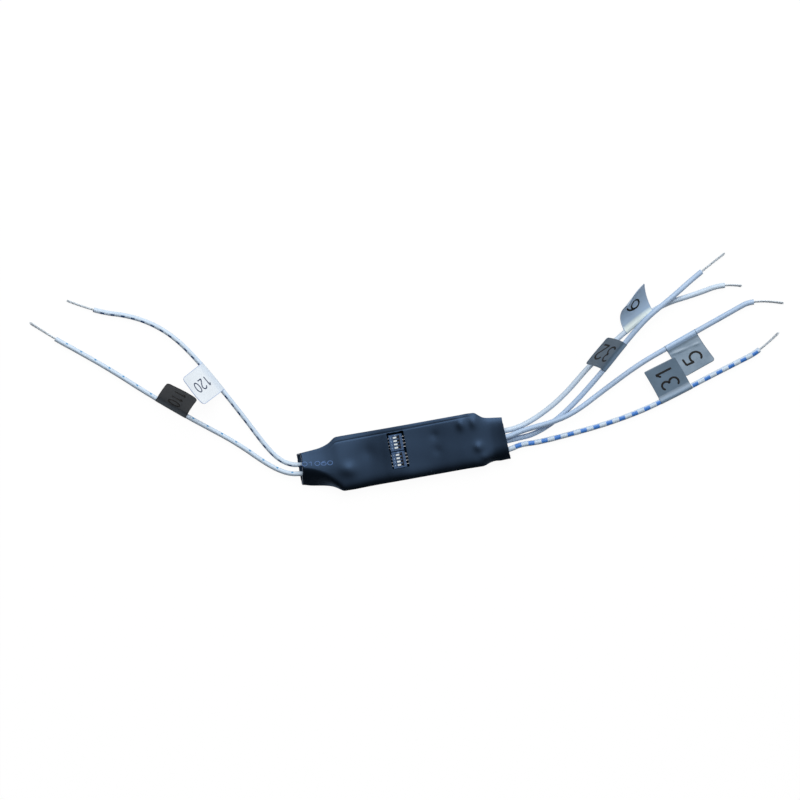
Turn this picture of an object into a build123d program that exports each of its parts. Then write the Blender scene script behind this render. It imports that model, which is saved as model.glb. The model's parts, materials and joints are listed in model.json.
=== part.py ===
from build123d import *
import math
import os

# Two-zone expansion module for a two-wire alarm bus. A printed board lies in a black
# heat-shrink sleeve. A window in the sleeve shows the two four-way address switches. Two bus
# leads leave the left mouth and four zone leads the right one. All sizes are in millimetres.
# +X runs along the sleeve towards the zone leads, +Y across it and +Z up. The origin is at
# the bottom centre of the sleeve, on the surface that it lies on.

# Printed board
board_length = 52.4
board_width = 18.8
board_thickness = 1.6
board_centre_x = 2.0
board_corner_radius = 1.0
board_right = board_centre_x + board_length / 2
board_left = board_centre_x - board_length / 2

# Heat-shrink sleeve
sleeve_length = 78.4
sleeve_wall = 0.5
board_side_clearance = 0.1
component_space = 2.3
sleeve_bottom_radius = 0.6
sleeve_shoulder_inset = 1.6
sleeve_shoulder_drop = 0.15
sleeve_shoulder_radius = 0.9
sleeve_side_share = 0.47
shrink_overlap = 1.0
shrink_length = 6.5
shrink_steps = 7
left_collar_width = 13.4
left_collar_offset = 0.37
left_collar_height = 3.5
left_mouth_width = 11.1
left_mouth_offset = 0.75
left_mouth_rake = 17.0
right_collar_width = 15.9
right_collar_offset = -0.8
right_collar_height = 3.8
right_mouth_width = 15.3
right_mouth_offset = -1.35
right_mouth_height = 5.3
right_mouth_rake = 1.0
right_mouth_skew = 2.5
mouth_trim = 1.5
window_length = 6.2
window_width = 13.7
window_corner_radius = 0.35
window_centre = (-1.3, 1.3)
window_cut_depth = 2.0
bump_radius = 1.7
bump_height = 0.3
bump_places = [
    (board_right - 4.8, 6.4),
    (board_right - 0.8, 5.9),
    (board_right - 0.8, -2.9),
    (board_left + 3.0, -4.6),
]

# Half-pitch slide switches, four ways each
switch_pitch = 1.27
switch_ways = 4
switch_end_margin = 0.56
switch_width = 5.0
switch_row_centre = (-1.6, 0.9)
switch_spacing = 6.5
switch_standoff = 0.1
switch_rail_width = 0.5
switch_rail_length = 4.0
switch_base_height = 0.75
switch_cover_height = 1.65
switch_roof = 0.8
switch_edge_radius = 0.15
recess_length = 2.7
recess_depth = 0.25
recess_end_margin = 0.45
switch_edge_chamfer = 0.1
slot_centre_x = 0.2
peg_diameter = 0.4
peg_length = 0.4
peg_clearance = 0.03
peg_inset_x = 0.5
peg_inset_y = 0.3

# Slider, its spring contact and the terminals
slider_travel = 0.9
slider_clearance = 0.05
knob_length = 1.25
knob_width = 0.6
knob_stand = 0.2
knob_groove_width = 0.3
knob_groove_depth = 0.12
foot_length = 1.7
foot_width = 0.95
foot_height = 0.5
contact_length = 1.2
contact_width = 0.5
contact_thickness = 0.08
contact_groove_depth = 0.25
contact_clearance = 0.03
terminal_width = 0.4
terminal_thickness = 0.15
terminal_bend_radius = 0.18
terminal_shoulder = 0.3
terminal_toe = 1.1
common_terminal_end = 0.25
switched_terminal_end = 0.6

# Board components
chip_standoff = 0.1
chip_taper = 5.0
lead_frame_thickness = 0.2
lead_frame_bend_radius = 0.2
pin_shoulder_share = 0.35
controller_size = (8.65, 3.9, 1.5)
controller_centre = (board_centre_x + 9.0, 2.0)
controller_pins_per_side = 7
controller_pitch = 1.27
controller_pin_width = 0.42
controller_span = 6.0
rectifier_size = (4.7, 3.9, 1.4)
rectifier_centre = (board_left + 9.6, 0.0)
rectifier_pitch = 2.54
rectifier_pin_width = 0.65
rectifier_span = 6.8
regulator_size = (4.5, 2.5, 1.5)
regulator_centre = (board_left + 15.6, -5.0)
regulator_pitch = 1.5
regulator_pin_width = 0.48
regulator_span = 4.1
transistor_size = (2.9, 1.3, 1.0)
transistor_centre = (board_left + 15.4, 5.6)
transistor_pitch = 1.9
transistor_pin_width = 0.4
transistor_span = 2.4
suppressor_size = (4.3, 2.6, 2.1)
suppressor_centre = (board_right - 6.8, 5.2)
suppressor_cap_height = 1.2
tantalum_size = (3.5, 2.8, 1.9)
tantalum_cap_height = 1.0
tantalum_centres = [(board_left + 9.6, 5.9), (board_left + 9.6, -6.0)]
diode_size = (2.7, 1.6, 1.15)
diode_column_x = board_right - 7.6
diode_pitch = 2.9
diode_first_y = -7.0
diode_count = 4
diode_body_share = 0.8
diode_cap_height = 0.5
moulded_share = 0.86
chip_body_share = 0.6
chip_glaze = 0.05
resistor_size = (1.25, 2.0, 0.5)
resistor_row_centre = (board_centre_x + 8.6, -6.4)
resistor_pitch = 2.1
resistor_count = 6
ceramic_size = (0.85, 1.6, 0.8)
ceramic_row_centre = (board_centre_x + 6.6, 7.0)
ceramic_pitch = 1.9
ceramic_count = 5

# Leads
bus_lead_diameter = 1.8
zone_lead_diameter = 2.0
conductor_diameter = 0.8
pad_inset = 1.9
solder_reach = 1.1
solder_radius = 1.2
solder_height = 1.05
insulation_gap = 0.3
floor_clearance = 0.05
edge_lift = 0.1
tip_lift = 0.1
bus_edge_reach = 1.6
bus_entry_reach = 7.2
zone_edge_reach = 1.2
zone_entry_reach = 5.7
bend_share = 0.45

# Label flags, a film folded over the lead and stuck to itself
label_film = 0.08
label_length = 13.0
label_reach = 11.8
label_corner_radius = 1.5
label_end_margin = 1.0
label_root = 3.0

# Heights and places that follow from the sizes above
board_bottom = sleeve_wall
seat = board_bottom + board_thickness
sleeve_width = board_width + 2 * (board_side_clearance + sleeve_wall)
sleeve_height = seat + component_space + sleeve_wall
switch_length = switch_ways * switch_pitch + 2 * switch_end_margin
peg_span_x = switch_width - 2 * peg_inset_x
peg_span_y = switch_length - 2 * peg_inset_y
switch_base_bottom = seat + switch_standoff
switch_parting = switch_base_bottom + switch_base_height
switch_top = switch_parting + switch_cover_height
pocket_ceiling = switch_top - switch_roof
foot_top = pocket_ceiling - slider_clearance
foot_bottom = foot_top - foot_height
knob_top = switch_top + knob_stand
slot_length = knob_length + slider_travel + 2 * slider_clearance
slot_width = knob_width + 2 * slider_clearance
pocket_length = foot_length + slider_travel + 2 * slider_clearance
pocket_width = foot_width + 2 * slider_clearance
slider_rest_x = slot_centre_x - slider_travel / 2
switch_centres = {
    "a": (switch_row_centre[0], switch_row_centre[1] + switch_spacing / 2),
    "b": (switch_row_centre[0], switch_row_centre[1] - switch_spacing / 2),
}
pad_right_x = board_right - pad_inset
pad_left_x = board_left + pad_inset
conductor_seat = seat + conductor_diameter / 2
bus_lead_inside = sleeve_wall + bus_lead_diameter / 2 + floor_clearance
zone_lead_inside = sleeve_wall + zone_lead_diameter / 2 + floor_clearance

bus_flag_height = bus_lead_diameter / 2 + 2 * label_film + floor_clearance
zone_flag_height = zone_lead_diameter / 2 + 2 * label_film + floor_clearance
bus_floor = bus_lead_diameter / 2
zone_floor = zone_lead_diameter / 2
tip_height = conductor_diameter / 2 + tip_lift
lead_over_edge = conductor_seat + edge_lift

# Each lead's route from its solder pad, through the mouth and along the surface to its bare
# tip. The points inside the sleeve follow the board and the mouth.
lead_routes = {
    "bus_plus": [
        (pad_left_x + solder_reach, -4.6, conductor_seat),
        (board_left - bus_edge_reach, -4.3, lead_over_edge),
        (board_left - bus_entry_reach, -2.4, bus_lead_inside),
        (-37.5, -1.2, bus_lead_inside + 0.1),
        (-43.6, -0.3, 1.35),
        (-50.5, 4.5, bus_floor),
        (-60.5, 14.7, bus_floor + 0.05),
        (-74.5, 25.6, bus_floor + 0.1),
        (-89.0, 37.8, bus_flag_height),
        (-101.5, 49.4, bus_floor + 0.1),
        (-112.5, 58.6, bus_floor),
        (-121.0, 65.4, bus_floor + 0.1),
        (-128.9, 72.8, tip_height),
    ],
    "bus_minus": [
        (pad_left_x + solder_reach, 3.6, conductor_seat),
        (board_left - bus_edge_reach, 3.5, lead_over_edge),
        (board_left - bus_entry_reach, 2.2, bus_lead_inside),
        (-36.6, 2.1, bus_lead_inside + 0.05),
        (-41.7, 2.8, 1.4),
        (-46.1, 5.8, bus_floor + 0.05),
        (-50.3, 12.1, bus_floor),
        (-57.0, 25.6, bus_floor + 0.1),
        (-70.6, 50.2, bus_flag_height),
        (-79.5, 61.2, bus_floor + 0.1),
        (-90.5, 68.6, bus_floor),
        (-104.0, 72.9, bus_floor + 0.15),
        (-113.8, 78.9, tip_height),
    ],
    "zone_1": [
        (pad_right_x - solder_reach, -6.9, conductor_seat),
        (board_right + zone_edge_reach, -6.8, lead_over_edge),
        (board_right + zone_entry_reach, -6.2, zone_lead_inside),
        (42.2, -4.9, zone_lead_inside),
        (50.5, -4.5, zone_floor),
        (63.0, -4.3, zone_floor + 0.05),
        (76.5, -3.0, zone_floor),
        (91.0, -0.5, zone_floor + 0.1),
        (103.5, 3.1, zone_flag_height),
        (118.0, 7.6, zone_floor + 0.1),
        (128.5, 10.8, zone_floor),
        (138.9, 13.9, zone_floor + 0.15),
        (147.0, 19.5, tip_height),
    ],
    "ground_1": [
        (pad_right_x - solder_reach, 1.6, conductor_seat),
        (board_right + zone_edge_reach, 1.4, lead_over_edge),
        (board_right + zone_entry_reach, -0.3, zone_lead_inside + 0.1),
        (39.0, -1.4, 3.4),
        (44.0, -0.1, 3.3),
        (50.0, 0.7, 3.2),
        (58.0, 1.4, 3.8),
        (66.5, 3.6, 3.6),
        (78.0, 9.5, 1.3),
        (93.0, 16.9, zone_floor),
        (105.5, 21.4, zone_flag_height),
        (123.0, 27.6, zone_floor + 0.1),
        (139.8, 33.0, zone_floor + 0.15),
        (150.7, 29.7, tip_height),
    ],
    "zone_2": [
        (pad_right_x - solder_reach, -2.6, conductor_seat),
        (board_right + zone_edge_reach, -2.6, lead_over_edge),
        (board_right + zone_entry_reach, -3.0, zone_lead_inside),
        (42.2, -2.35, zone_lead_inside),
        (50.5, -2.0, zone_floor),
        (62.5, 3.6, zone_floor),
        (78.0, 15.6, zone_flag_height),
        (90.5, 26.8, 2.6),
        (99.5, 33.9, 3.5),
        (109.0, 39.0, 3.4),
        (121.2, 46.5, zone_floor + 0.3),
        (132.4, 52.3, tip_height),
    ],
    "ground_2": [
        (pad_right_x - solder_reach, 5.9, conductor_seat),
        (board_right + zone_edge_reach, 5.5, lead_over_edge),
        (board_right + zone_entry_reach, 1.9, zone_lead_inside),
        (41.5, 1.0, zone_lead_inside),
        (50.5, 3.3, zone_floor),
        (62.5, 9.6, zone_floor + 0.05),
        (75.5, 20.3, zone_floor),
        (92.0, 31.1, zone_floor + 0.1),
        (105.2, 37.4, zone_flag_height),
        (118.5, 38.9, zone_floor),
        (129.8, 41.1, zone_floor + 0.1),
        (136.6, 38.8, tip_height),
    ],
}
stripped_lengths = {
    "bus_plus": 11.7,
    "bus_minus": 11.0,
    "zone_1": 10.0,
    "ground_1": 11.5,
    "zone_2": 11.5,
    "ground_2": 6.8,
}
# Where each flag lies: how far its nearer edge is from the end of the insulation, which side
# of the lead it leaves (1 is left, looking towards the tip) and its slope above the surface.
# A second slope is that of the outer edge of a flag that curls up.
label_places = {
    "bus_plus": (44.0, -1, 51, None),
    "bus_minus": (46.3, 1, 49, None),
    "zone_1": (29.0, 1, 8, None),
    "ground_1": (24.5, -1, -2, None),
    "zone_2": (39.6, 1, 58, None),
    "ground_2": (28.8, 1, 12, 100),
}


def way_positions(count, pitch):
    """Places of evenly spaced things along a line, about its middle."""
    return [(index - (count - 1) / 2) * pitch for index in range(count)]


# Sleeve
def sleeve_stations(side):
    """Places along one end of the sleeve, each with the outline's centre, width and height.
    The film narrows from the board to the collar along half a cosine wave. The right mouth
    opens up again over the two leads that leave it one on the other."""
    if side > 0:
        board_end = board_right
        collar = (right_collar_offset, right_collar_width, right_collar_height)
        mouth = (right_mouth_offset, right_mouth_width, right_mouth_height)
    else:
        board_end = board_left
        collar = (left_collar_offset, left_collar_width, left_collar_height)
        mouth = (left_mouth_offset, left_mouth_width, left_collar_height)
    stations = []
    for step in range(shrink_steps + 1):
        along = step / shrink_steps
        shrunk = (1 - math.cos(math.pi * along)) / 2
        stations.append((
            board_end + side * (along * shrink_length - shrink_overlap),
            collar[0] * shrunk,
            sleeve_width + (collar[1] - sleeve_width) * shrunk,
            sleeve_height + (collar[2] - sleeve_height) * shrunk,
        ))
    stations.append((side * (sleeve_length / 2 + mouth_trim), *mouth))
    return stations


def sleeve_outline(station, inset):
    """Outline of the film round what it holds: a flat bottom, upright lower sides, sloping
    upper sides and a slightly crowned top, drawn in by the wall for the inside."""
    x, centre_y, width, height = station
    half = width / 2
    shoulder = half - sleeve_shoulder_inset
    shoulder_height = height - sleeve_shoulder_drop
    side_height = height * sleeve_side_share
    with BuildSketch(Plane.YZ.offset(x)) as section:
        with BuildLine():
            sides = Polyline(
                (centre_y - shoulder, shoulder_height),
                (centre_y - half, side_height),
                (centre_y - half, 0),
                (centre_y + half, 0),
                (centre_y + half, side_height),
                (centre_y + shoulder, shoulder_height),
            )
            ThreePointArc(sides @ 1, (centre_y, height), sides @ 0)
        make_face()
        corners = section.vertices().group_by(Axis.Y)
        fillet(corners[1] + corners[2], sleeve_shoulder_radius)
        fillet(section.vertices().group_by(Axis.Y)[0], sleeve_bottom_radius)
        if inset:
            offset(amount=-inset, mode=Mode.REPLACE)
    return section.sketch


def sleeve_body(inset):
    """The sleeve as a solid: a straight stretch over the board and a shrunk end each side."""
    left = [sleeve_outline(station, inset) for station in sleeve_stations(-1)]
    right = [sleeve_outline(station, inset) for station in sleeve_stations(1)]
    with BuildPart() as body:
        loft(left[::-1] + right, ruled=True)
    return body.part


def film_bump(x, y, base, radius, height):
    """A low dome where the film is drawn over something that stands up under it."""
    with BuildPart() as bump:
        with BuildSketch(Plane.XZ) as profile:
            with BuildLine():
                bulge = radius * math.sqrt(0.5)
                rise = math.sqrt(0.5) * height
                dome = ThreePointArc((0, height), (bulge, rise), (radius, 0))
                Polyline(dome @ 1, (radius, -sleeve_wall / 2), (0, -sleeve_wall / 2), dome @ 0)
            make_face()
        revolve(axis=Axis.Z)
    return bump.part.moved(Location((x, y, base)))


def make_sleeve():
    """Black heat-shrink sleeve with its two open mouths, the window and the film's bumps."""
    half_length = sleeve_length / 2
    low_right_y = right_mouth_offset - right_mouth_width / 2 + sleeve_bottom_radius
    with BuildPart() as sleeve:
        add(sleeve_body(0))
        for x, y in bump_places:
            add(film_bump(x, y, sleeve_height - sleeve_shoulder_drop / 2, bump_radius, bump_height))
        add(sleeve_body(sleeve_wall), mode=Mode.SUBTRACT)
        with BuildSketch(Plane.XY.offset(sleeve_height - window_cut_depth)):
            with Locations(window_centre):
                RectangleRounded(window_length, window_width, window_corner_radius)
        extrude(amount=2 * window_cut_depth, mode=Mode.SUBTRACT)
        for side, rake, skew in ((-1, left_mouth_rake, 0), (1, right_mouth_rake, right_mouth_skew)):
            across = math.tan(math.radians(skew))
            upward = math.tan(math.radians(rake))
            origin = (side * half_length, low_right_y if side > 0 else 0, 0)
            mouth = Plane(origin=origin, z_dir=(side, across, upward))
            split(bisect_by=mouth, keep=Keep.BOTTOM)
    sleeve.part.label = "heat_shrink_sleeve"
    return sleeve.part


# Board
def make_board():
    """Bare printed board. Its copper and its solder mask are too thin to show as steps."""
    with BuildPart() as board:
        with BuildSketch(Plane.XY.offset(board_bottom)):
            with Locations((board_centre_x, 0)):
                RectangleRounded(board_length, board_width, board_corner_radius)
        extrude(amount=board_thickness)
    board.part.label = "circuit_board"
    return board.part


# Slide switches
def make_switch_base(name):
    """Moulded base with the terminals' seats in its top, a hole for each of the cover's pegs
    and two rails that stand on the board."""
    x, y = switch_centres[name]
    with BuildPart() as base:
        with BuildSketch(Plane.XY.offset(switch_base_bottom)):
            with Locations((x, y)):
                RectangleRounded(switch_width, switch_length, switch_edge_radius)
        extrude(amount=switch_base_height)
        with BuildSketch(Plane.XY.offset(seat)):
            with Locations((x, y)):
                with GridLocations(0, switch_length - 2 * switch_rail_width, 1, 2):
                    Rectangle(switch_rail_length, switch_rail_width)
        extrude(amount=switch_standoff)
        with BuildSketch(Plane.XY.offset(switch_parting)):
            for way in way_positions(switch_ways, switch_pitch):
                for near, far in (
                    (-switch_width / 2, common_terminal_end),
                    (switched_terminal_end, switch_width / 2),
                ):
                    with Locations((x + (near + far) / 2, y + way)):
                        Rectangle(far - near, terminal_width)
        extrude(amount=-terminal_thickness, mode=Mode.SUBTRACT)
        with Locations((x, y, switch_parting)):
            with GridLocations(peg_span_x, peg_span_y, 2, 2):
                Hole(peg_diameter / 2 + peg_clearance, depth=peg_length + peg_clearance)
    base.part.label = f"switch_{name}_base"
    return base.part


def make_switch_cover(name):
    """Moulded cover with a sunk channel, a slot for each knob, a pocket under each slot that
    guides the slider's foot, and four pegs that seat in the base."""
    x, y = switch_centres[name]
    with BuildPart() as cover:
        with BuildSketch(Plane.XY.offset(switch_parting)):
            with Locations((x, y)):
                RectangleRounded(switch_width, switch_length, switch_edge_radius)
        extrude(amount=switch_cover_height)
        chamfer(cover.faces().sort_by(Axis.Z)[-1].outer_wire().edges(), switch_edge_chamfer)
        with BuildSketch(Plane.XY.offset(switch_top)):
            with Locations((x + slot_centre_x, y)):
                Rectangle(recess_length, switch_length - 2 * recess_end_margin)
        extrude(amount=-recess_depth, mode=Mode.SUBTRACT)
        with BuildSketch(Plane.XY.offset(switch_parting)):
            with Locations((x + slot_centre_x, y)):
                with GridLocations(0, switch_pitch, 1, switch_ways):
                    Rectangle(pocket_length, pocket_width)
        extrude(amount=pocket_ceiling - switch_parting, mode=Mode.SUBTRACT)
        with BuildSketch(Plane.XY.offset(pocket_ceiling)):
            with Locations((x + slot_centre_x, y)):
                with GridLocations(0, switch_pitch, 1, switch_ways):
                    Rectangle(slot_length, slot_width)
        extrude(amount=switch_roof, mode=Mode.SUBTRACT)
        with BuildSketch(Plane.XY.offset(switch_parting)):
            with Locations((x, y)):
                with GridLocations(peg_span_x, peg_span_y, 2, 2):
                    Circle(peg_diameter / 2)
        extrude(amount=-peg_length)
    cover.part.label = f"switch_{name}_cover"
    return cover.part


def gull_wing(x, y, side, start, shoulder, toe, height, width, thickness, bend_radius):
    """One terminal strip: level out of the body at a height over the board, down past the
    shoulder and out along the board to the toe. Distances run sideways from x."""
    half = thickness / 2
    slant = thickness
    plane = Plane(origin=(x, y, seat), x_dir=(side, 0, 0), z_dir=(0, -side, 0))
    with BuildPart() as strip:
        with BuildSketch(plane):
            with BuildLine() as middle:
                FilletPolyline(
                    (start, height - half),
                    (shoulder, height - half),
                    (shoulder + slant, half),
                    (toe, half),
                    radius=bend_radius,
                )
            trace(middle.edges(), line_width=thickness)
        extrude(amount=width / 2, both=True)
    return strip.part


def make_switch_terminals(name):
    """Eight tinned terminals. On each way the common one, on the left, reaches under the
    contact at rest, and the switched one waits at the far side of the gap."""
    x, y = switch_centres[name]
    strips = []
    for way in way_positions(switch_ways, switch_pitch):
        for side, start in ((-1, -common_terminal_end), (1, switched_terminal_end)):
            strips.append(gull_wing(
                x,
                y + way,
                side,
                start,
                switch_width / 2 + terminal_shoulder,
                switch_width / 2 + terminal_toe,
                switch_parting - seat,
                terminal_width,
                terminal_thickness,
                terminal_bend_radius,
            ))
    return group(f"switch_{name}_terminals", strips)


def make_slider(name, way):
    """White slider: a foot that runs in the cover's pocket, with the contact's groove under
    it, and a knob that stands through the slot, notched for a pen's tip."""
    x = switch_centres[name][0] + slider_rest_x
    y = switch_centres[name][1] + way_positions(switch_ways, switch_pitch)[way]
    with BuildPart() as slider:
        with BuildSketch(Plane.XY.offset(foot_bottom)):
            with Locations((x, y)):
                Rectangle(foot_length, foot_width)
        extrude(amount=foot_height)
        with BuildSketch(Plane.XY.offset(foot_top)):
            with Locations((x, y)):
                Rectangle(knob_length, knob_width)
        extrude(amount=knob_top - foot_top)
        with BuildSketch(Plane.XZ.offset(-y)):
            with Locations((x, knob_top)):
                Rectangle(knob_groove_width, 2 * knob_groove_depth)
        extrude(amount=knob_width, both=True, mode=Mode.SUBTRACT)
        with BuildSketch(Plane.XY.offset(foot_bottom)):
            with Locations((x, y)):
                Rectangle(contact_length + 2 * contact_clearance, contact_width + 2 * contact_clearance)
        extrude(amount=contact_groove_depth, mode=Mode.SUBTRACT)
    slider.part.label = f"switch_{name}_slider_{switch_ways - way}"
    return slider.part


def make_contact(name, way):
    """Bowed leaf that the slider carries in its groove and slides over the terminals."""
    x = switch_centres[name][0] + slider_rest_x
    y = switch_centres[name][1] + way_positions(switch_ways, switch_pitch)[way]
    low = switch_parting + contact_clearance + contact_thickness / 2
    high = foot_bottom + contact_groove_depth - contact_clearance - contact_thickness / 2
    half = contact_length / 2 - contact_thickness / 2
    with BuildPart() as contact:
        with BuildSketch(Plane.XZ.offset(-y)):
            with BuildLine() as leaf:
                ThreePointArc((x - half, low), (x, high), (x + half, low))
            trace(leaf.edges(), line_width=contact_thickness)
        extrude(amount=contact_width / 2, both=True)
    contact.part.label = f"switch_{name}_contact_{switch_ways - way}"
    return contact.part


# Board components
def group(label, pieces):
    """Several separate solids of one kind under one name."""
    together = Compound(children=[Solid(piece.solid().wrapped) for piece in pieces])
    together.label = label
    return together


def moulded_body(centre, size, standoff):
    """A chip's moulded body, with drafted sides above and below its parting line."""
    length, width, height = size
    middle = seat + standoff + height / 2
    with BuildPart() as body:
        with BuildSketch(Plane.XY.offset(middle)):
            with Locations(centre):
                Rectangle(length, width)
        extrude(amount=height / 2, both=True, taper=chip_taper)
    return body.part


def chip(name, centre, size, pitch, counts, pin_width, span):
    """A moulded chip and its row of gull-wing pins along each long side."""
    body = moulded_body(centre, size, chip_standoff)
    body.label = f"{name}_body"
    middle = chip_standoff + size[2] / 2 + lead_frame_thickness / 2
    pins = []
    for side, count in zip((-1, 1), counts):
        for place in way_positions(count, pitch):
            pins.append(turned_gull_wing(
                centre, place, side, size[1] / 2, span / 2, middle, pin_width
            ))
    return [body, group(f"{name}_pins", pins)]


def turned_gull_wing(centre, place, side, start, toe, height, width):
    """A chip's pin, which leaves its body across the board."""
    pin = gull_wing(
        0,
        0,
        1,
        start,
        start + (toe - start) * pin_shoulder_share,
        toe,
        height,
        width,
        lead_frame_thickness,
        lead_frame_bend_radius,
    )
    turned = pin.rotate(Axis.Z, 90 * side)
    return turned.moved(Location((centre[0] + place, centre[1], 0)))


def capped_chip(x, y, size, along_x, body_share, cap_height):
    """A small two-ended part as one solid: its body between two end caps."""
    length, width, height = size
    with BuildPart() as piece:
        with BuildSketch(Plane.XY.offset(seat)):
            with Locations((x, y)):
                Rectangle(length, width)
        extrude(amount=cap_height)
        with BuildSketch(Plane.XY.offset(seat + cap_height)):
            with Locations((x, y)):
                if along_x:
                    Rectangle(length * body_share, width)
                else:
                    Rectangle(length, width * body_share)
        extrude(amount=height - cap_height)
    return piece.part


# Leads
def lead_diameter(name):
    """Insulation diameter of a lead."""
    return bus_lead_diameter if name.startswith("bus") else zone_lead_diameter


def bend_radii(points):
    """The largest radius that each corner's two runs allow."""
    radii = []
    for before, corner, after in zip(points, points[1:], points[2:]):
        run_in = Vector(corner) - Vector(before)
        run_out = Vector(after) - Vector(corner)
        half_turn = math.radians(run_in.get_angle(run_out)) / 2
        radii.append(bend_share * min(run_in.length, run_out.length) / math.tan(half_turn))
    return radii


def lead_path(name):
    """A lead's centre line, as straight runs joined by tangent arcs."""
    points = lead_routes[name]
    radii = bend_radii(points)
    with BuildLine() as route:
        FilletPolyline(*points, radius=radii)
    path = route.wire()
    print(f"{name}: {path.length:.1f} mm long, tightest bend {min(radii):.1f} mm")
    return path


def stretch(path, start, end):
    """The part of a path between two distances along it."""
    return path.trim(start / path.length, end / path.length)


def across(path):
    """Plane square to a path's start, with its X to the left of the way on and its Y up."""
    onward = path % 0
    left = Vector(-onward.Y, onward.X, 0)
    return Plane(origin=path @ 0, x_dir=left, z_dir=onward)


def make_conductor(name, path):
    """Tinned stranded conductor, from its solder joint to its bare tip."""
    with BuildPart() as conductor:
        with BuildSketch(across(path)):
            Circle(conductor_diameter / 2)
        sweep(path=path)
    conductor.part.label = f"{name}_conductor"
    return conductor.part


def make_insulation(name, path):
    """The lead's insulation, a tube round the conductor."""
    with BuildPart() as insulation:
        with BuildSketch(across(path)):
            Circle(lead_diameter(name) / 2)
            Circle(conductor_diameter / 2, mode=Mode.SUBTRACT)
        sweep(path=path)
    insulation.part.label = f"{name}_insulation"
    return insulation.part


def make_flag(name, path, start):
    """Label flag: one turn of film round the insulation, whose two ends are stuck together
    into a flag. A flag with an outer slope leaves the lead at one slope and curls up."""
    gap, side, slope, outer_slope = label_places[name]
    radius = lead_diameter(name) / 2
    wrapped = stretch(path, start, start + label_length)
    through = stretch(path, start - label_end_margin, start + label_length + label_end_margin)
    root = across(wrapped)
    sideways = (side * math.cos(math.radians(slope)), math.sin(math.radians(slope)))
    with BuildPart() as flag:
        with BuildSketch(root):
            Circle(radius + label_film)
        sweep(path=wrapped)
        if outer_slope is None:
            outward = root.x_dir * sideways[0] + root.y_dir * sideways[1]
            onward = wrapped % 0.5
            blade = Plane(origin=wrapped @ 0.5, x_dir=onward, z_dir=onward.cross(outward))
            with BuildSketch(blade) as outline:
                Rectangle(label_length, radius + label_reach, align=(Align.CENTER, Align.MIN))
                fillet(outline.vertices().group_by(Axis.Y)[-1], label_corner_radius)
            extrude(amount=label_film, both=True)
        else:
            turn = outer_slope - slope
            with BuildSketch(root):
                with BuildLine() as curl:
                    flat = Line((0, 0), (sideways[0] * label_root, sideways[1] * label_root))
                    bend = (label_reach + radius - label_root) / math.radians(turn)
                    JernArc(flat @ 1, flat % 1, bend, side * turn)
                trace(curl.edges(), line_width=2 * label_film)
            extrude(amount=label_length)
        with BuildSketch(across(through)):
            Circle(radius)
        sweep(path=through, mode=Mode.SUBTRACT)
    flag.part.label = f"{name}_flag"
    return flag.part


def make_solder_joints(starts, conductors):
    """A solder dome over the end of each conductor."""
    domes = []
    for (x, y, z), conductor in zip(starts, conductors):
        outward = math.copysign(solder_reach, x - board_centre_x)
        with BuildPart() as dome:
            with BuildSketch(Plane.XZ) as profile:
                with BuildLine():
                    cap = (solder_radius**2 + solder_height**2) / (2 * solder_height)
                    arc = RadiusArc((0, solder_height), (solder_radius, 0), cap)
                    Polyline(arc @ 1, (0, 0), arc @ 0)
                make_face()
            revolve(axis=Axis.Z)
        domes.append(dome.part.moved(Location((x + outward, y, seat))) - conductor)
    return group("solder_joints", domes)


def make_board_components():
    """Everything that stands on the board under the film, apart from the switches."""
    pieces = chip("microcontroller", controller_centre, controller_size, controller_pitch,
                  (controller_pins_per_side, controller_pins_per_side),
                  controller_pin_width, controller_span)
    pieces += chip("bridge_rectifier", rectifier_centre, rectifier_size, rectifier_pitch,
                   (2, 2), rectifier_pin_width, rectifier_span)
    pieces += chip("voltage_regulator", regulator_centre, regulator_size, regulator_pitch,
                   (3, 1), regulator_pin_width, regulator_span)
    pieces += chip("bus_transistor", transistor_centre, transistor_size, transistor_pitch,
                   (2, 1), transistor_pin_width, transistor_span)
    diodes = [
        capped_chip(diode_column_x, diode_first_y + index * diode_pitch, diode_size, True,
                    diode_body_share, diode_cap_height)
        for index in range(diode_count)
    ]
    resistors = [
        capped_chip(resistor_row_centre[0] + place, resistor_row_centre[1], resistor_size,
                    False, chip_body_share, resistor_size[2] - chip_glaze)
        for place in way_positions(resistor_count, resistor_pitch)
    ]
    ceramics = [
        capped_chip(ceramic_row_centre[0] + place, ceramic_row_centre[1], ceramic_size,
                    False, chip_body_share, ceramic_size[2] - chip_glaze)
        for place in way_positions(ceramic_count, ceramic_pitch)
    ]
    tantalums = [
        capped_chip(x, y, tantalum_size, True, moulded_share, tantalum_cap_height)
        for x, y in tantalum_centres
    ]
    suppressor = capped_chip(*suppressor_centre, suppressor_size, True, moulded_share,
                             suppressor_cap_height)
    suppressor.label = "surge_suppressor"
    return pieces + [
        suppressor,
        group("zone_diodes", diodes),
        group("chip_resistors", resistors),
        group("ceramic_capacitors", ceramics),
        group("tantalum_capacitors", tantalums),
    ]


# The assembly
parts = [make_sleeve(), make_board()]
for name in switch_centres:
    parts += [make_switch_base(name), make_switch_cover(name), make_switch_terminals(name)]
    for way in range(switch_ways):
        parts += [make_slider(name, way), make_contact(name, way)]
parts += make_board_components()

conductors = []
for name in lead_routes:
    path = lead_path(name)
    board_end = board_left if name.startswith("bus") else board_right
    bare_root = abs(path.position_at(0).X - board_end) + insulation_gap
    bare_tip = path.length - stripped_lengths[name]
    flag_start = bare_tip - label_places[name][0] - label_length
    conductors.append(make_conductor(name, path))
    parts += [
        conductors[-1],
        make_insulation(name, stretch(path, bare_root, bare_tip)),
        make_flag(name, path, flag_start),
    ]
lead_starts = [points[0] for points in lead_routes.values()]
parts.append(make_solder_joints(lead_starts, conductors))

os.makedirs("parts", exist_ok=True)
for part in parts:
    export_step(part, f"parts/{part.label}.step")
print(f"{len(parts)} nodes")
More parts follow.
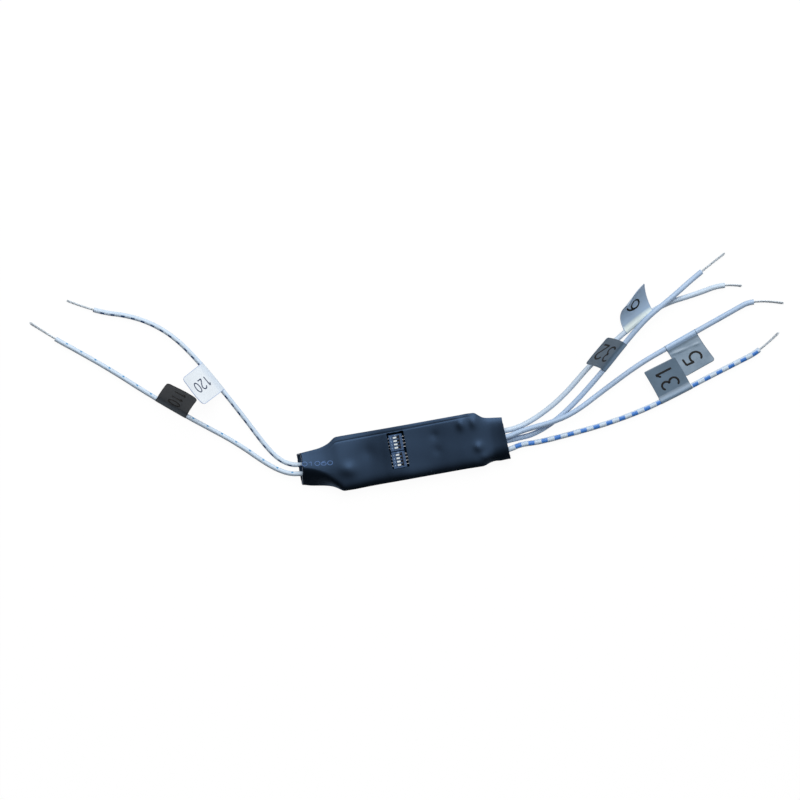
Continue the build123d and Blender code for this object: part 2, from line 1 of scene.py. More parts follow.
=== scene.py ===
# %% [markdown]
# # A two-zone expansion module in its heat-shrink sleeve
# The real object is a small printed board in a black shrunk sleeve. Six thin leads come out of
# its two mouths, each with a film flag near its tip, and a window shows two address switches.
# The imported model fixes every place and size, so this script only dresses it: it loads the
# frame, makes surfaces with numpy where a finished skin is needed, and gives every piece a
# finish made of nodes. Lengths are written in millimetres and turned to metres at the end.

# %% Load the frame
import json
import math

import bpy
import numpy as np
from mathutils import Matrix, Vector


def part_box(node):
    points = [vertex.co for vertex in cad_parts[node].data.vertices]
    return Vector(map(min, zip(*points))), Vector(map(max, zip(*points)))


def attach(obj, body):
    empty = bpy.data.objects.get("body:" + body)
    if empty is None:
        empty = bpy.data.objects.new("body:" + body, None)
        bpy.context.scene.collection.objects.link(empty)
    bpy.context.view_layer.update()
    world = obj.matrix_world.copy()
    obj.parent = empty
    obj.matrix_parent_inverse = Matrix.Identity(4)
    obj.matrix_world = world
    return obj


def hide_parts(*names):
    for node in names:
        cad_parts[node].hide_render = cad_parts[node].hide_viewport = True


MM = 0.001
BODY = "module"


def add_object(name, data):
    """A new object that shows the data, linked into the scene."""
    added = bpy.data.objects.new(name, data)
    bpy.context.scene.collection.objects.link(added)
    return added


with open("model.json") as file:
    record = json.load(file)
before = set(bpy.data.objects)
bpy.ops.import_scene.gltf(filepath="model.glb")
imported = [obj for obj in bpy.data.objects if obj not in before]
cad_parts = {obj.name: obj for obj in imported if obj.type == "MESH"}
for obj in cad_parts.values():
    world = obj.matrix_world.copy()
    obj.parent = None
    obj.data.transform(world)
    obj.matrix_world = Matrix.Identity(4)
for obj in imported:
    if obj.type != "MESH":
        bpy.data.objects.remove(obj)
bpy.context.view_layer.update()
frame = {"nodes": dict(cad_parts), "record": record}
sleeve_low, sleeve_high = (np.array(corner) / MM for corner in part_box("heat_shrink_sleeve"))

# %% [markdown]
# ## Camera
# The photograph looks straight down on the module, which lies turned a little clockwise in the
# picture. A long lens from 1.2 m keeps the thin leads free of perspective. The view's width is a
# real length on the table, so the focal length follows from it.

# %% Camera above the module
VIEW_CENTRE = (2.645, 19.56)
VIEW_WIDTH = 299.3
VIEW_TURN = -10.2
CAMERA_HEIGHT = 1200.0
LEAD_LEVEL = 2.0
SENSOR = 36.0

camera_data = bpy.data.cameras.new("camera")
camera_data.sensor_width = SENSOR
camera_data.lens = SENSOR * (CAMERA_HEIGHT - LEAD_LEVEL) / VIEW_WIDTH
camera = add_object("camera", camera_data)
camera.location = (VIEW_CENTRE[0] * MM, VIEW_CENTRE[1] * MM, CAMERA_HEIGHT * MM)
camera.rotation_euler = (0, 0, math.radians(VIEW_TURN))
bpy.context.scene.camera = camera
bpy.context.scene.view_settings.view_transform = "Standard"
print("focal length:", round(camera_data.lens, 1), "mm")

# %% [markdown]
# ## Helpers for finishes
# A finish is a node tree. One function adds a node with its settings and links. Colours are
# written as the hex values that a screen shows, and one function turns them to the linear
# values that the shader works in.

# %% Colour and node helpers
def linear(colour):
    """Turns an sRGB hex value into linear red, green, blue and alpha, by the sRGB curve."""
    values = np.array([int(colour[i:i + 2], 16) for i in (1, 3, 5)]) / 255
    curve = np.where(values <= 0.04045, values / 12.92, ((values + 0.055) / 1.055) ** 2.4)
    return (*curve.tolist(), 1.0)


def per(size):
    """Scale of a pattern on object coordinates whose features are this many mm across."""
    return 1 / (size * MM)


def add_node(owner, kind, inputs=None, **settings):
    """Adds a node. Kind is the end of its type's name. Inputs are values, or the outputs of
    earlier nodes, which are linked."""
    node = owner.node_tree.nodes.new("ShaderNode" + kind)
    for name, value in settings.items():
        setattr(node, name, value)
    for name, value in (inputs or {}).items():
        if isinstance(value, bpy.types.NodeSocket):
            owner.node_tree.links.new(value, node.inputs[name])
        else:
            node.inputs[name].default_value = value
    return node


def start_material(name):
    """A new material whose node tree is empty."""
    material = bpy.data.materials.new(name)
    material.use_nodes = True
    material.node_tree.nodes.clear()
    return material


# %% [markdown]
# Most finishes take the same few steps: patches of noise, a mix of two colours, a change of
# range, and a bump and a shader at the end. With a function for each, a finish is a few lines
# long, and one function serves all plain mouldings.

# %% Steps of a finish
BUMP_DEPTH = 0.02


def object_place(owner):
    """A point's place in its object's own coordinates."""
    return add_node(owner, "TexCoord").outputs["Object"]


def axes(owner, vector):
    """The parts X, Y and Z of a vector."""
    return add_node(owner, "SeparateXYZ", {"Vector": vector}).outputs


def noise(owner, place, size, detail):
    """Soft patches this many mm across, from 0 to 1."""
    inputs = {"Vector": place, "Scale": per(size), "Detail": detail}
    return add_node(owner, "TexNoise", inputs).outputs["Fac"]


def blend(owner, share, first, second):
    """A mix of two colours, each a hex value or the output of an earlier node."""
    first, second = (linear(side) if isinstance(side, str) else side for side in (first, second))
    inputs = {"Factor": share, "A": first, "B": second}
    return add_node(owner, "Mix", inputs, data_type="RGBA").outputs["Result"]


def remap(owner, value, source=(0.0, 1.0), target=(0.0, 1.0), curve="LINEAR"):
    """Carries a value from one range over to another and holds it at the ends."""
    inputs = {"Value": value, "From Min": source[0], "From Max": source[1],
              "To Min": target[0], "To Max": target[1]}
    return add_node(owner, "MapRange", inputs, interpolation_type=curve).outputs["Result"]


def calculate(owner, operation, first, second=0.0):
    """One step of arithmetic."""
    return add_node(owner, "Math", {0: first, 1: second}, operation=operation).outputs[0]


def finish_surface(material, colour, rough, ior, bump=None, more=None):
    """The principled shader of a finish, linked to its output. A bump is a height from 0 to 1
    and its strength."""
    inputs = {"Base Color": colour, "Roughness": rough, "IOR": ior, **(more or {})}
    if bump:
        height, strength = bump
        relief = {"Height": height, "Strength": strength, "Distance": BUMP_DEPTH * MM}
        inputs["Normal"] = add_node(material, "Bump", relief).outputs["Normal"]
    shader = add_node(material, "BsdfPrincipled", inputs).outputs["BSDF"]
    add_node(material, "OutputMaterial", {"Surface": shader})
    return material


def moulded(name, low, high, grain, roughness, bump, metal=0.0, ior=1.5, tint="#ffffff"):
    """A finish of two close colours in soft patches, with a roughness range and a fine bump.
    Grain is the size of the patches in mm, and the bump's grain is a tenth of it."""
    material = start_material(name)
    place = object_place(material)
    patches = noise(material, place, grain, 4.0)
    return finish_surface(material, blend(material, patches, low, high),
                          remap(material, patches, target=roughness), ior,
                          (noise(material, place, grain / 10, 2.0), bump),
                          {"Metallic": metal, "Specular Tint": linear(tint)})


# %% [markdown]
# ## Light
# The white leads are light along their upper side, so the key lamp hangs over the top of the
# picture. The black film shows the sky more than its own colour, and its bumps are lightest
# towards the right, so the sky is a wide glow round the top right that fades to a dim level on
# the other side. On a face that looks up, the lamp gives 0.52 of full light and the sky 0.41,
# so a colour renders about as written.

# %% Key lamp and sky
KEY_OFFSET = np.array((60.0, 562.0, 566.0))
KEY_SIZE = 900.0
KEY_SHARE = 0.52
SKY_TOWARDS = (0.515, 0.4, 0.758)
SKY_RANGE = (0.4, 0.98)
SKY_LEVELS = (0.01, 1.05)

key_distance = float(np.linalg.norm(KEY_OFFSET)) * MM
key_cosine = KEY_OFFSET[2] * MM / key_distance
key_data = bpy.data.lights.new("key", "AREA")
key_data.shape = "DISK"
key_data.size = KEY_SIZE * MM
key_data.energy = KEY_SHARE * math.pi ** 2 * key_distance ** 2 / key_cosine
key = add_object("key", key_data)
key.location = tuple(KEY_OFFSET * MM)
key.rotation_euler = key.location.to_track_quat("Z", "Y").to_euler()

world = bpy.data.worlds.new("studio_sky")
world.use_nodes = True
direction = add_node(world, "TexCoord").outputs["Generated"]
towards = add_node(world, "VectorMath", {0: direction, 1: SKY_TOWARDS},
                   operation="DOT_PRODUCT").outputs["Value"]
level = remap(world, towards, SKY_RANGE, SKY_LEVELS, "SMOOTHSTEP")
sky = world.node_tree.nodes["Background"]
sky.inputs["Color"].default_value = (1, 1, 1, 1)
world.node_tree.links.new(level, sky.inputs["Strength"])
bpy.context.scene.world = world
print("key lamp:", round(key_data.energy, 2), "W at", round(key_distance, 2), "m")

# %% [markdown]
# ## The table
# The module lies on a plain white table. The camera, and whatever mirrors or lets light through,
# sees the table as white with a faint shadow, and every other ray sees an ordinary pale surface,
# so that the white adds no light to the object.

# %% Table
TABLE_SIZE = 3000.0
TABLE_DROP = 0.02
TABLE_ALBEDO = 0.25
SHADOW_SHARE = 0.07
GLOW = 0.95

table_mesh = bpy.data.meshes.new("table")
edge = TABLE_SIZE * MM / 2
under = -TABLE_DROP * MM
corners = [(-edge, -edge, under), (edge, -edge, under), (edge, edge, under), (-edge, edge, under)]
table_mesh.from_pydata(corners, [], [(0, 1, 2, 3)])
table = add_object("table", table_mesh)

white_table = start_material("white_table")
rays = add_node(white_table, "LightPath").outputs
seen = calculate(white_table, "MAXIMUM", rays["Is Camera Ray"], rays["Is Glossy Ray"])
seen = calculate(white_table, "MAXIMUM", seen, rays["Is Transmission Ray"])
pale, shade = (add_node(white_table, "BsdfDiffuse", {"Color": (share,) * 3 + (1,)}).outputs[0]
               for share in (TABLE_ALBEDO, SHADOW_SHARE))
glow = add_node(white_table, "Emission", {"Color": (1, 1, 1, 1), "Strength": GLOW}).outputs[0]
bright = add_node(white_table, "AddShader", {0: shade, 1: glow}).outputs[0]
table_mix = add_node(white_table, "MixShader", {0: seen, 1: pale, 2: bright}).outputs[0]
add_node(white_table, "OutputMaterial", {"Surface": table_mix})
table_mesh.materials.append(white_table)
print("table:", round(TABLE_SIZE * MM, 1), "m square")

# %% [markdown]
# ## Helpers for surfaces
# Every new piece is a grid of points worked out by a formula: rows run along the piece and
# columns run round or across it. One function joins such grids into a mesh. A grid may close on
# itself either way, and an open tube's ends are capped, so tubes and shells are watertight.

# %% Grid to mesh
def grid_faces(rows, columns, first, closed_rows, closed_columns):
    """Corner numbers of the quads between neighbouring rows and columns of one grid."""
    row = np.arange(rows if closed_rows else rows - 1)[:, None]
    column = np.arange(columns if closed_columns else columns - 1)[None, :]
    next_row = (row + 1) % rows
    next_column = (column + 1) % columns
    corners = [row * columns + column, row * columns + next_column,
               next_row * columns + next_column, next_row * columns + column]
    corners = [np.broadcast_to(corner, (row.size, column.size)) for corner in corners]
    return first + np.stack(corners, axis=-1).reshape(-1, 4)


def make_piece(name, grids, material, closed_rows=False, closed_columns=True, marks=None,
               sharp=40.0):
    """Joins grids of points, in mm, into one smooth mesh that rides on the module. Caps close
    the first and last row of a tube. Marks are grids of two pattern values for each point,
    kept in a UV map, with one column more where the columns close on themselves."""
    faces, uv, first = [], [], 0
    for index, grid in enumerate(grids):
        rows, columns = grid.shape[:2]
        faces += grid_faces(rows, columns, first, closed_rows, closed_columns).tolist()
        if marks:
            flat = grid_faces(rows, columns + closed_columns, 0, closed_rows, False)
            uv.append(marks[index].reshape(-1, 2)[flat.ravel()])
        if closed_columns and not closed_rows:
            last = first + (rows - 1) * columns
            faces.append(list(range(first + columns - 1, first - 1, -1)))
            faces.append(list(range(last, last + columns)))
            if marks:
                uv += [np.repeat(marks[index][end, :1], columns, axis=0) for end in (0, -1)]
        first += rows * columns
    mesh = bpy.data.meshes.new(name)
    points = np.concatenate([grid.reshape(-1, 3) for grid in grids]) * MM
    mesh.from_pydata(points.tolist(), [], faces)
    if marks:
        mesh.uv_layers.new(name="pattern").data.foreach_set("uv", np.concatenate(uv).ravel())
    mesh.shade_smooth()
    mesh.set_sharp_from_angle(angle=math.radians(sharp))
    mesh.materials.append(material)
    piece = add_object(name, mesh)
    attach(piece, BODY)
    return piece


# %% [markdown]
# A lead, a strand and a pen stroke each follow a line of points. The next helpers read a line at
# any distance along it, find the two directions square to it and sweep a ring along it.

# %% Lines and tubes
TUBE_LOOK = 0.3


def resample(line, distances):
    """Points at these distances along a line of points, whatever the shape of the array."""
    steps = np.linalg.norm(np.diff(line, axis=0), axis=1)
    along = np.concatenate([[0], np.cumsum(steps)])
    return np.stack([np.interp(distances, along, line[:, axis]) for axis in range(3)], axis=-1)


def line_length(line):
    """Length of a line of points."""
    return float(np.linalg.norm(np.diff(line, axis=0), axis=1).sum())


def normalised(vectors):
    """Vectors of length one."""
    return vectors / np.linalg.norm(vectors, axis=-1, keepdims=True)


def side_axes(line, distances, look):
    """Level and upper directions square to a line at distances along it. The line's own
    direction is taken over this many mm to either side."""
    ahead = resample(line, distances + look) - resample(line, distances - look)
    onward = normalised(ahead)
    level = normalised(np.cross((0, 0, 1), onward))
    return level, np.cross(onward, level)


def tube_grid(line, distances, radii, sides, slant=0.0):
    """A tube round a line: a ring at each distance, with that radius. The ring's two axes are
    level and square to the line's direction, which suits a lead that lies on a table. Slant
    moves one side of each ring forward, as a cut that isn't quite square does."""
    turn = np.linspace(0, 2 * math.pi, sides, endpoint=False)
    distances = np.asarray(distances, float)
    centre = resample(line, distances[:, None] + slant * np.cos(turn + 1))
    level, upward = (axis[:, None, :] for axis in side_axes(line, distances, TUBE_LOOK))
    reach = np.asarray(radii, float).reshape(len(distances), -1, 1)
    return centre + reach * (np.cos(turn)[:, None] * level + np.sin(turn)[:, None] * upward)


# %% [markdown]
# ## The six leads' routes
# A lead is a fixed length of stranded wire that lies where it was dropped. Its centreline is a
# NURBS curve whose control points follow the model's route, within about 1 mm: from the solder
# pad, over the board's edge, out of the mouth and along the table, with a low hump where it
# crosses another. The curve is read back as points, and everything on the lead follows them.

# %% Routes
BUS_DIAMETER = 1.8
ZONE_DIAMETER = 2.0
LEAD_ROUTES = {
    "bus_plus": [
        (-21.2, -4.6, 2.5), (-25.8, -4.3, 2.6), (-31.4, -2.4, 1.45), (-37.5, -1.2, 1.55),
        (-43.6, -0.3, 1.35), (-50.5, 4.5, 0.9), (-60.5, 14.7, 0.95), (-74.5, 25.6, 1.0),
        (-89.0, 37.8, 1.11), (-101.5, 49.4, 1.0), (-112.5, 58.6, 0.9), (-121.0, 65.4, 1.0),
        (-128.9, 72.8, 0.5),
    ],
    "bus_minus": [
        (-21.2, 3.6, 2.5), (-25.8, 3.5, 2.6), (-31.4, 2.2, 1.45), (-36.6, 2.1, 1.5),
        (-41.7, 2.8, 1.4), (-46.1, 5.8, 0.95), (-50.3, 12.1, 0.9), (-57.0, 25.6, 1.0),
        (-70.6, 50.2, 1.11), (-79.5, 61.2, 1.0), (-90.5, 68.3, 0.9), (-103.9, 72.3, 1.05),
        (-113.9, 78.5, 0.5),
    ],
    "zone_1": [
        (25.2, -6.9, 2.5), (29.4, -6.8, 2.6), (33.9, -6.2, 1.55), (39.6, -6.0, 1.55),
        (44.2, -4.75, 1.4), (50.5, -5.2, 1.0), (63.0, -4.3, 1.05), (76.5, -3.0, 1.0),
        (91.0, -0.5, 1.1), (103.5, 3.1, 1.21), (118.0, 7.6, 1.1), (128.5, 10.8, 1.0),
        (138.9, 13.9, 1.15), (147.0, 19.5, 0.5),
    ],
    "ground_1": [
        (25.2, 1.6, 2.5), (29.4, 1.4, 2.6), (33.9, -0.3, 1.65), (39.0, -1.4, 3.4),
        (44.0, -0.1, 3.3), (50.0, 0.7, 3.2), (58.0, 1.4, 3.8), (66.5, 3.6, 3.6),
        (78.0, 9.5, 1.3), (93.0, 16.9, 1.0), (105.5, 21.4, 1.21), (130.5, 30.1, 1.1),
        (140.0, 33.4, 1.15), (150.7, 29.7, 0.5),
    ],
    "zone_2": [
        (25.2, -2.6, 2.5), (29.4, -2.6, 2.6), (33.9, -3.0, 1.55), (42.2, -2.35, 1.55),
        (50.5, -2.0, 1.0), (62.5, 3.6, 1.0), (78.0, 15.6, 1.21), (90.5, 26.8, 2.6),
        (99.5, 33.9, 3.5), (109.0, 39.0, 3.4), (121.2, 46.5, 1.3), (132.4, 52.3, 0.5),
    ],
    "ground_2": [
        (25.2, 5.9, 2.5), (29.4, 5.5, 2.6), (33.9, 1.9, 1.55), (41.5, 1.0, 1.55),
        (50.5, 3.3, 1.0), (62.5, 9.6, 1.05), (75.5, 20.3, 1.0), (92.0, 31.1, 1.1),
        (105.2, 37.4, 1.21), (118.5, 38.9, 1.0), (129.8, 41.1, 1.1), (136.6, 38.8, 0.5),
    ],
}
STRIPPED = {
    "bus_plus": 11.7, "bus_minus": 11.0, "zone_1": 10.0,
    "ground_1": 11.5, "zone_2": 11.5, "ground_2": 6.8,
}
INSULATION_START = 3.3
ROUTE_STEPS = 48


def lead_line(name, points):
    """Points in mm along the NURBS curve whose control points are the route."""
    curve = bpy.data.curves.new(f"{name}_route", "CURVE")
    curve.dimensions = "3D"
    spline = curve.splines.new("NURBS")
    spline.points.add(len(points) - 1)
    weighted = np.column_stack([np.array(points) * MM, np.ones(len(points))])
    spline.points.foreach_set("co", weighted.ravel())
    spline.order_u = 3
    spline.use_endpoint_u = True
    spline.resolution_u = ROUTE_STEPS
    holder = bpy.data.objects.new(f"{name}_route", curve)
    mesh = bpy.data.meshes.new_from_object(holder)
    line = np.empty(len(mesh.vertices) * 3)
    mesh.vertices.foreach_get("co", line)
    bpy.data.objects.remove(holder)
    bpy.data.curves.remove(curve)
    bpy.data.meshes.remove(mesh)
    return line.reshape(-1, 3) / MM


lines = {name: lead_line(name, points) for name, points in LEAD_ROUTES.items()}
for name, line in lines.items():
    print(name, "is", round(line_length(line), 1), "mm from its solder joint to its tip")


def lead_diameter(name):
    """Outer diameter of a lead's insulation."""
    return BUS_DIAMETER if name.startswith("bus") else ZONE_DIAMETER


def insulation_end(name):
    """Distance along a lead at which its insulation was cut."""
    return line_length(lines[name]) - STRIPPED[name]


# %% [markdown]
# ## Insulation
# The insulation is soft white vinyl, extruded over the strands, with a satin skin. Its colours
# hold a painted blue cast of skylight. Four leads are a little paler than the other two: the
# darker copy of the colours is painted shade on those two. Three have printed dashes or dots to
# tell them apart. These are ink in the surface, so they belong in the material. A UV map holds
# each point's angle round the lead and its distance along it, so the dashes keep their real length
# and follow every bend.

# %% Insulation finishes
# Two copies of the vinyl's colours, both with a painted blue cast: the first is painted shade for
# ground_1 and zone_2, the second is the lit copy for the other four
VINYL = ("#a6c2e4", "#bbd2ed")
PALE_VINYL = ("#bfd5ed", "#d2e3f3")
STRIPE_BLUE = "#3f82d8"
STRIPE_NAVY = "#1c4a7e"
DOT_BLUE = "#3b8fc4"
DASH_SOFTNESS = (0.012, 0.015)
VINYL_GLOSS = (0.36, 0.46)
VINYL_IOR = 1.53
VINYL_BUMP = 0.1


def pattern_marks(material):
    """The two pattern values of a piece's UV map, as X and Y."""
    return axes(material, add_node(material, "UVMap", uv_map="pattern").outputs["UV"])


def within(material, value, half, softness):
    """One where a value's fraction is within half a width of one half, and nought elsewhere."""
    fraction = calculate(material, "FRACT", value)
    off = calculate(material, "ABSOLUTE", calculate(material, "SUBTRACT", fraction, 0.5))
    return remap(material, off, (half - softness, half + softness), (1.0, 0.0))


def vinyl(name, colours, ink=None, pitch=5.0, length=2.0, turn=0.0, width=0.2, wander=0.0,
          start=0.0):
    """Extruded vinyl whose two colours blend in clouds 9 mm across, with dashes of ink if a
    colour is given. Pitch, length and start are mm along the lead. Turn and width are the
    dashes' place and half width in turns round it, and wander is their drift in 100 mm."""
    material = start_material(name)
    place = object_place(material)
    cloud = noise(material, place, 9.0, 3.0)
    colour = blend(material, cloud, *colours)
    if ink:
        marks = pattern_marks(material)
        from_start = calculate(material, "SUBTRACT", marks["Y"], start)
        count = calculate(material, "DIVIDE", from_start, pitch)
        drift = calculate(material, "MULTIPLY", marks["Y"], wander / 100)
        seat = calculate(material, "ADD", drift, turn)
        from_seat = calculate(material, "SUBTRACT", marks["X"], seat)
        around = calculate(material, "SUBTRACT", from_seat, 0.5)
        on_length = within(material, count, length / pitch / 2, DASH_SOFTNESS[0])
        on_width = within(material, around, width, DASH_SOFTNESS[1])
        inked = calculate(material, "MULTIPLY", on_length, on_width)
        colour = blend(material, inked, colour, ink)
    return finish_surface(material, colour, remap(material, cloud, target=VINYL_GLOSS), VINYL_IOR,
                          (noise(material, place, 2.0, 2.0), VINYL_BUMP))


shaded_vinyl = vinyl("shaded_white_vinyl", VINYL)
pale_vinyl = vinyl("pale_white_vinyl", PALE_VINYL)
insulation_finishes = {
    "bus_plus": vinyl("dotted_white_vinyl", PALE_VINYL, DOT_BLUE, pitch=6.1, length=0.8,
                      turn=0.36, width=0.06, start=6.05),
    "bus_minus": vinyl("navy_dashed_vinyl", PALE_VINYL, STRIPE_NAVY, pitch=3.9, length=1.5,
                       turn=0.1, width=0.085, wander=0.03, start=3.65),
    "zone_1": vinyl("blue_dashed_vinyl", PALE_VINYL, STRIPE_BLUE, pitch=5.04, length=2.4,
                    turn=0.225, width=0.13, wander=0.07, start=0.55),
    # The two leads whose vinyl carries painted shade
    "ground_1": shaded_vinyl,
    "zone_2": shaded_vinyl,
    "ground_2": pale_vinyl,
}
print("leads with a vinyl finish:", len(insulation_finishes))

# %% [markdown]
# The insulation is a tube with a slightly uneven skin. Its ends were cut with a stripping tool,
# so each end is a flat face with a softened rim and a small bore that the strands come out of.

# %% Insulation tubes
LEAD_SIDES = 28
LEAD_STEP = 0.55
BORE_RADIUS = 0.42
BORE_DEPTH = 1.2
RIM = 0.07
CUT_SLANT = 0.08
SKIN_WAVE = 0.018
SKIN_LENGTHS = (5.3, 2.9)


def make_insulation(name, index):
    """A tube along the lead. Its radius wavers by the product of a slow and a quick wave. At
    each end its profile goes over a soft rim, across the cut face and down into the bore."""
    radius = lead_diameter(name) / 2
    start, end = INSULATION_START, insulation_end(name)
    body = np.linspace(start + RIM, end - RIM, int((end - start) / LEAD_STEP))
    slow, quick = body / SKIN_LENGTHS[0] + index, body / SKIN_LENGTHS[1] + 2 * index
    waver = radius * (1 + SKIN_WAVE * np.sin(slow) * np.sin(quick))
    distances = np.concatenate([[start + BORE_DEPTH, start, start], body,
                                [end, end, end - BORE_DEPTH]])
    radii = np.concatenate([[BORE_RADIUS, BORE_RADIUS, radius - RIM], waver,
                            [radius - RIM, BORE_RADIUS, BORE_RADIUS]])
    grid = tube_grid(lines[name], distances, radii, LEAD_SIDES, CUT_SLANT)
    turns = np.linspace(0, 1, LEAD_SIDES + 1)
    marks = np.stack(np.broadcast_arrays(turns[None, :], distances[:, None]), axis=-1)
    piece = make_piece(f"{name}_insulation_skin", [grid], insulation_finishes[name],
                       marks=[marks])
    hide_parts(f"{name}_insulation")
    return piece


insulation = {name: make_insulation(name, index) for index, name in enumerate(lines)}
print("insulation tubes:", len(insulation))

# %% [markdown]
# ## Strands
# Inside is a twist of seven tinned copper strands. It shows only where the insulation is
# stripped: six strands wind round a seventh and open a little at the tip, each cut to its own
# length. Under the insulation one plain core stands for them.

# %% Tinned strands
STRAND_RADIUS = 0.135
STRAND_SIDES = 8
STRAND_STEP = 0.3
STRAND_LAY = 9.0
CORE_RADIUS = 0.39
CORE_OVERLAP = 1.0
CORE_SWING = 0.05
TAPER_LENGTH = 0.2
TAPER_END = 0.4
STRAND_CUTS = (0.0, 0.35, 0.1, 0.55, 0.2, 0.75, 0.4)
TIP_OPENING = {
    "bus_plus": 0.16, "bus_minus": 0.05, "zone_1": 0.12,
    "ground_1": 0.1, "zone_2": 0.04, "ground_2": 0.14,
}

# The tin is darker and bluer than fresh tin: painted shade and a painted blue cast on the strands
tinned_strand = moulded("tinned_copper_strand", "#8f99a3", "#cdd5dc", 0.9, (0.36, 0.5), 0.2,
                        metal=1.0)


def make_strands(name):
    """Strand number k turns round the lead's line at k sixths of a turn plus one turn for each
    lay length, and swings out near the tip. The seventh runs down the middle."""
    line = lines[name]
    total, end = line_length(line), insulation_end(name)
    core = np.arange(0.0, end - CORE_OVERLAP + LEAD_STEP, LEAD_STEP)
    grids = [tube_grid(line, core, np.full(core.size, CORE_RADIUS), STRAND_SIDES)]
    for index, cut in enumerate(STRAND_CUTS):
        along = np.arange(end - CORE_OVERLAP, total - cut, STRAND_STEP)
        opened = np.clip((along - end) / (total - end), 0, 1) ** 2
        swing = (2 * STRAND_RADIUS + TIP_OPENING[name] * opened) if index else CORE_SWING * opened
        turn = 2 * math.pi * (index / 6 + along / STRAND_LAY)
        centre = resample(line, along)
        level, upward = side_axes(line, along, TUBE_LOOK)
        path = centre + (swing * np.cos(turn))[:, None] * level
        path = path + (swing * np.sin(turn))[:, None] * upward
        path[:, 2] = np.maximum(path[:, 2], STRAND_RADIUS)
        reach = np.linspace(0, line_length(path), along.size)
        taper = STRAND_RADIUS * np.minimum(1, (reach[-1] - reach) / TAPER_LENGTH + TAPER_END)
        grids.append(tube_grid(path, reach, taper, STRAND_SIDES))
    piece = make_piece(f"{name}_strands", grids, tinned_strand)
    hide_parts(f"{name}_conductor")
    return piece


strands = {name: make_strands(name) for name in lines}
print("conductors of seven strands:", len(strands))

# %% [markdown]
# ## Label flags
# Each lead has a flag: a strip of printed film that goes once round the lead and is stuck to
# itself. It stands out from the lead at a slope of its own. A curl turns its outer part, a lean
# carries that part along the lead, and small waves and wrinkles lift it.

# %% Sizes and forms of the flags
FILM = 0.08
FLAG_LENGTH = 13.0
FLAG_REACH = 11.8
CURL_ROOT = 3.0
LEAN_POWER = 1.7
LAYER_GAP = 0.045
FLAG_LOOK = 2.0
WAVE_LENGTHS = (17.0, 40.0)
WAVE_START = 0.15
WAVE_POWER = 1.5
# Slope and curl are in degrees, and gap is the mm of bare insulation beyond the flag. Curl and
# lean have a value at the flag's start and one at its end
FLAGS = {
    "bus_plus": dict(gap=44.0, side=-1, slope=51, curl=(3, 3), lean=(-1.1, -1.1), wave=0.25,
                     corner=1.5),
    "bus_minus": dict(gap=46.3, side=1, slope=49, curl=(-4, -4), lean=(0, 0), wave=0.3,
                      corner=1.5),
    "zone_1": dict(gap=29.0, side=1, slope=8, curl=(3, 3), lean=(-0.8, -0.8), wave=0.12,
                   corner=0.5),
    "ground_1": dict(gap=24.5, side=-1, slope=-2, curl=(2, 2), lean=(1.2, 1.2), wave=0.3,
                     corner=1.2, crease=0.35),
    "zone_2": dict(gap=39.6, side=1, slope=58, curl=(-3, -3), lean=(-2.2, -2.2), wave=0.15,
                   corner=0.9),
    "ground_2": dict(gap=28.8, side=1, slope=20, curl=(84, 33), lean=(6.9, 2.2), wave=0.08,
                     corner=0.5),
}
# A wrinkled film has a fold near the lead, in two stretches, and a soft swell farther out
FOLD_ROOT, FOLD_SKEW, FOLD_WIDTH = 2.9, 0.12, 0.45
FOLD_STRETCHES = ((4.0, 3.2, 1.0), (10.5, 1.6, 0.8))
SWELL = (8.5, 1.6, 0.5)


# %% [markdown]
# The whole flag is one formula that takes a place on the film to a point. It serves the film and,
# a little higher, the ink on it, so the print follows every curl.

# %% A point of a flag
def hill(place, middle, width):
    """A smooth hill one high: e to the power of minus the square of the distance from its
    middle, in widths."""
    return np.exp(-((place - middle) / width) ** 2)


def flag_frame(name, along):
    """Centre, outward and upper directions of a flag at distances along it, in mm. Outward
    leaves the lead at the flag's slope, and upper is square to it."""
    flag = FLAGS[name]
    place = insulation_end(name) - flag["gap"] - FLAG_LENGTH + along
    level, upward = side_axes(lines[name], place, FLAG_LOOK)
    slope = math.radians(flag["slope"])
    outward = flag["side"] * math.cos(slope) * level + math.sin(slope) * upward
    upper = -flag["side"] * math.sin(slope) * level + math.cos(slope) * upward
    return resample(lines[name], place), outward, upper


def flag_place(name, along, out, lift):
    """Point of a flag, from its distance along the lead, its distance out from the lead's
    centre and its height over the middle of the film. Past the root the profile is an arc, and
    it leans along the lead by a power of the distance out. Curl and lean change evenly from the
    flag's start to its end."""
    flag = FLAGS[name]
    span = lead_diameter(name) / 2 + FLAG_REACH
    from_start = along / FLAG_LENGTH
    lean, curl = (flag[key][0] + (flag[key][1] - flag[key][0]) * from_start
                  for key in ("lean", "curl"))
    centre, outward, upper = flag_frame(name, along)
    onward = normalised(np.cross(outward, upper)) * flag["side"]
    centre = centre + (lean * np.clip(out / span, 0, 1) ** LEAN_POWER)[..., None] * onward
    bend = np.radians(curl) / (span - CURL_ROOT)
    turned = bend * np.maximum(out - CURL_ROOT, 0)
    share = np.clip((out - CURL_ROOT) / (span - CURL_ROOT), 0, 1)
    phase = along / WAVE_LENGTHS[0] + WAVE_START + out / WAVE_LENGTHS[1]
    lift = lift + flag["wave"] * share ** WAVE_POWER * np.sin(2 * math.pi * phase)
    if "crease" in flag:
        fold = sum(high * hill(along, middle, width) for middle, width, high in FOLD_STRETCHES)
        fold = fold * hill(out, FOLD_ROOT + FOLD_SKEW * along, FOLD_WIDTH)
        lift = lift + flag["crease"] * (fold + SWELL[2] * hill(out, *SWELL[:2]) * share)
    reach = np.minimum(out, CURL_ROOT) + np.sin(turned) / bend - lift * np.sin(turned)
    rise = (1 - np.cos(turned)) / bend + lift * np.cos(turned)
    return centre + reach[..., None] * outward + rise[..., None] * upper


# %% [markdown]
# The strip is made as the real one is. Seen along the lead its profile starts at the free edge,
# comes in to the lead, goes round the back of it and returns to the free edge as the second
# layer. The corners are rounded by drawing the free edge in near both ends.

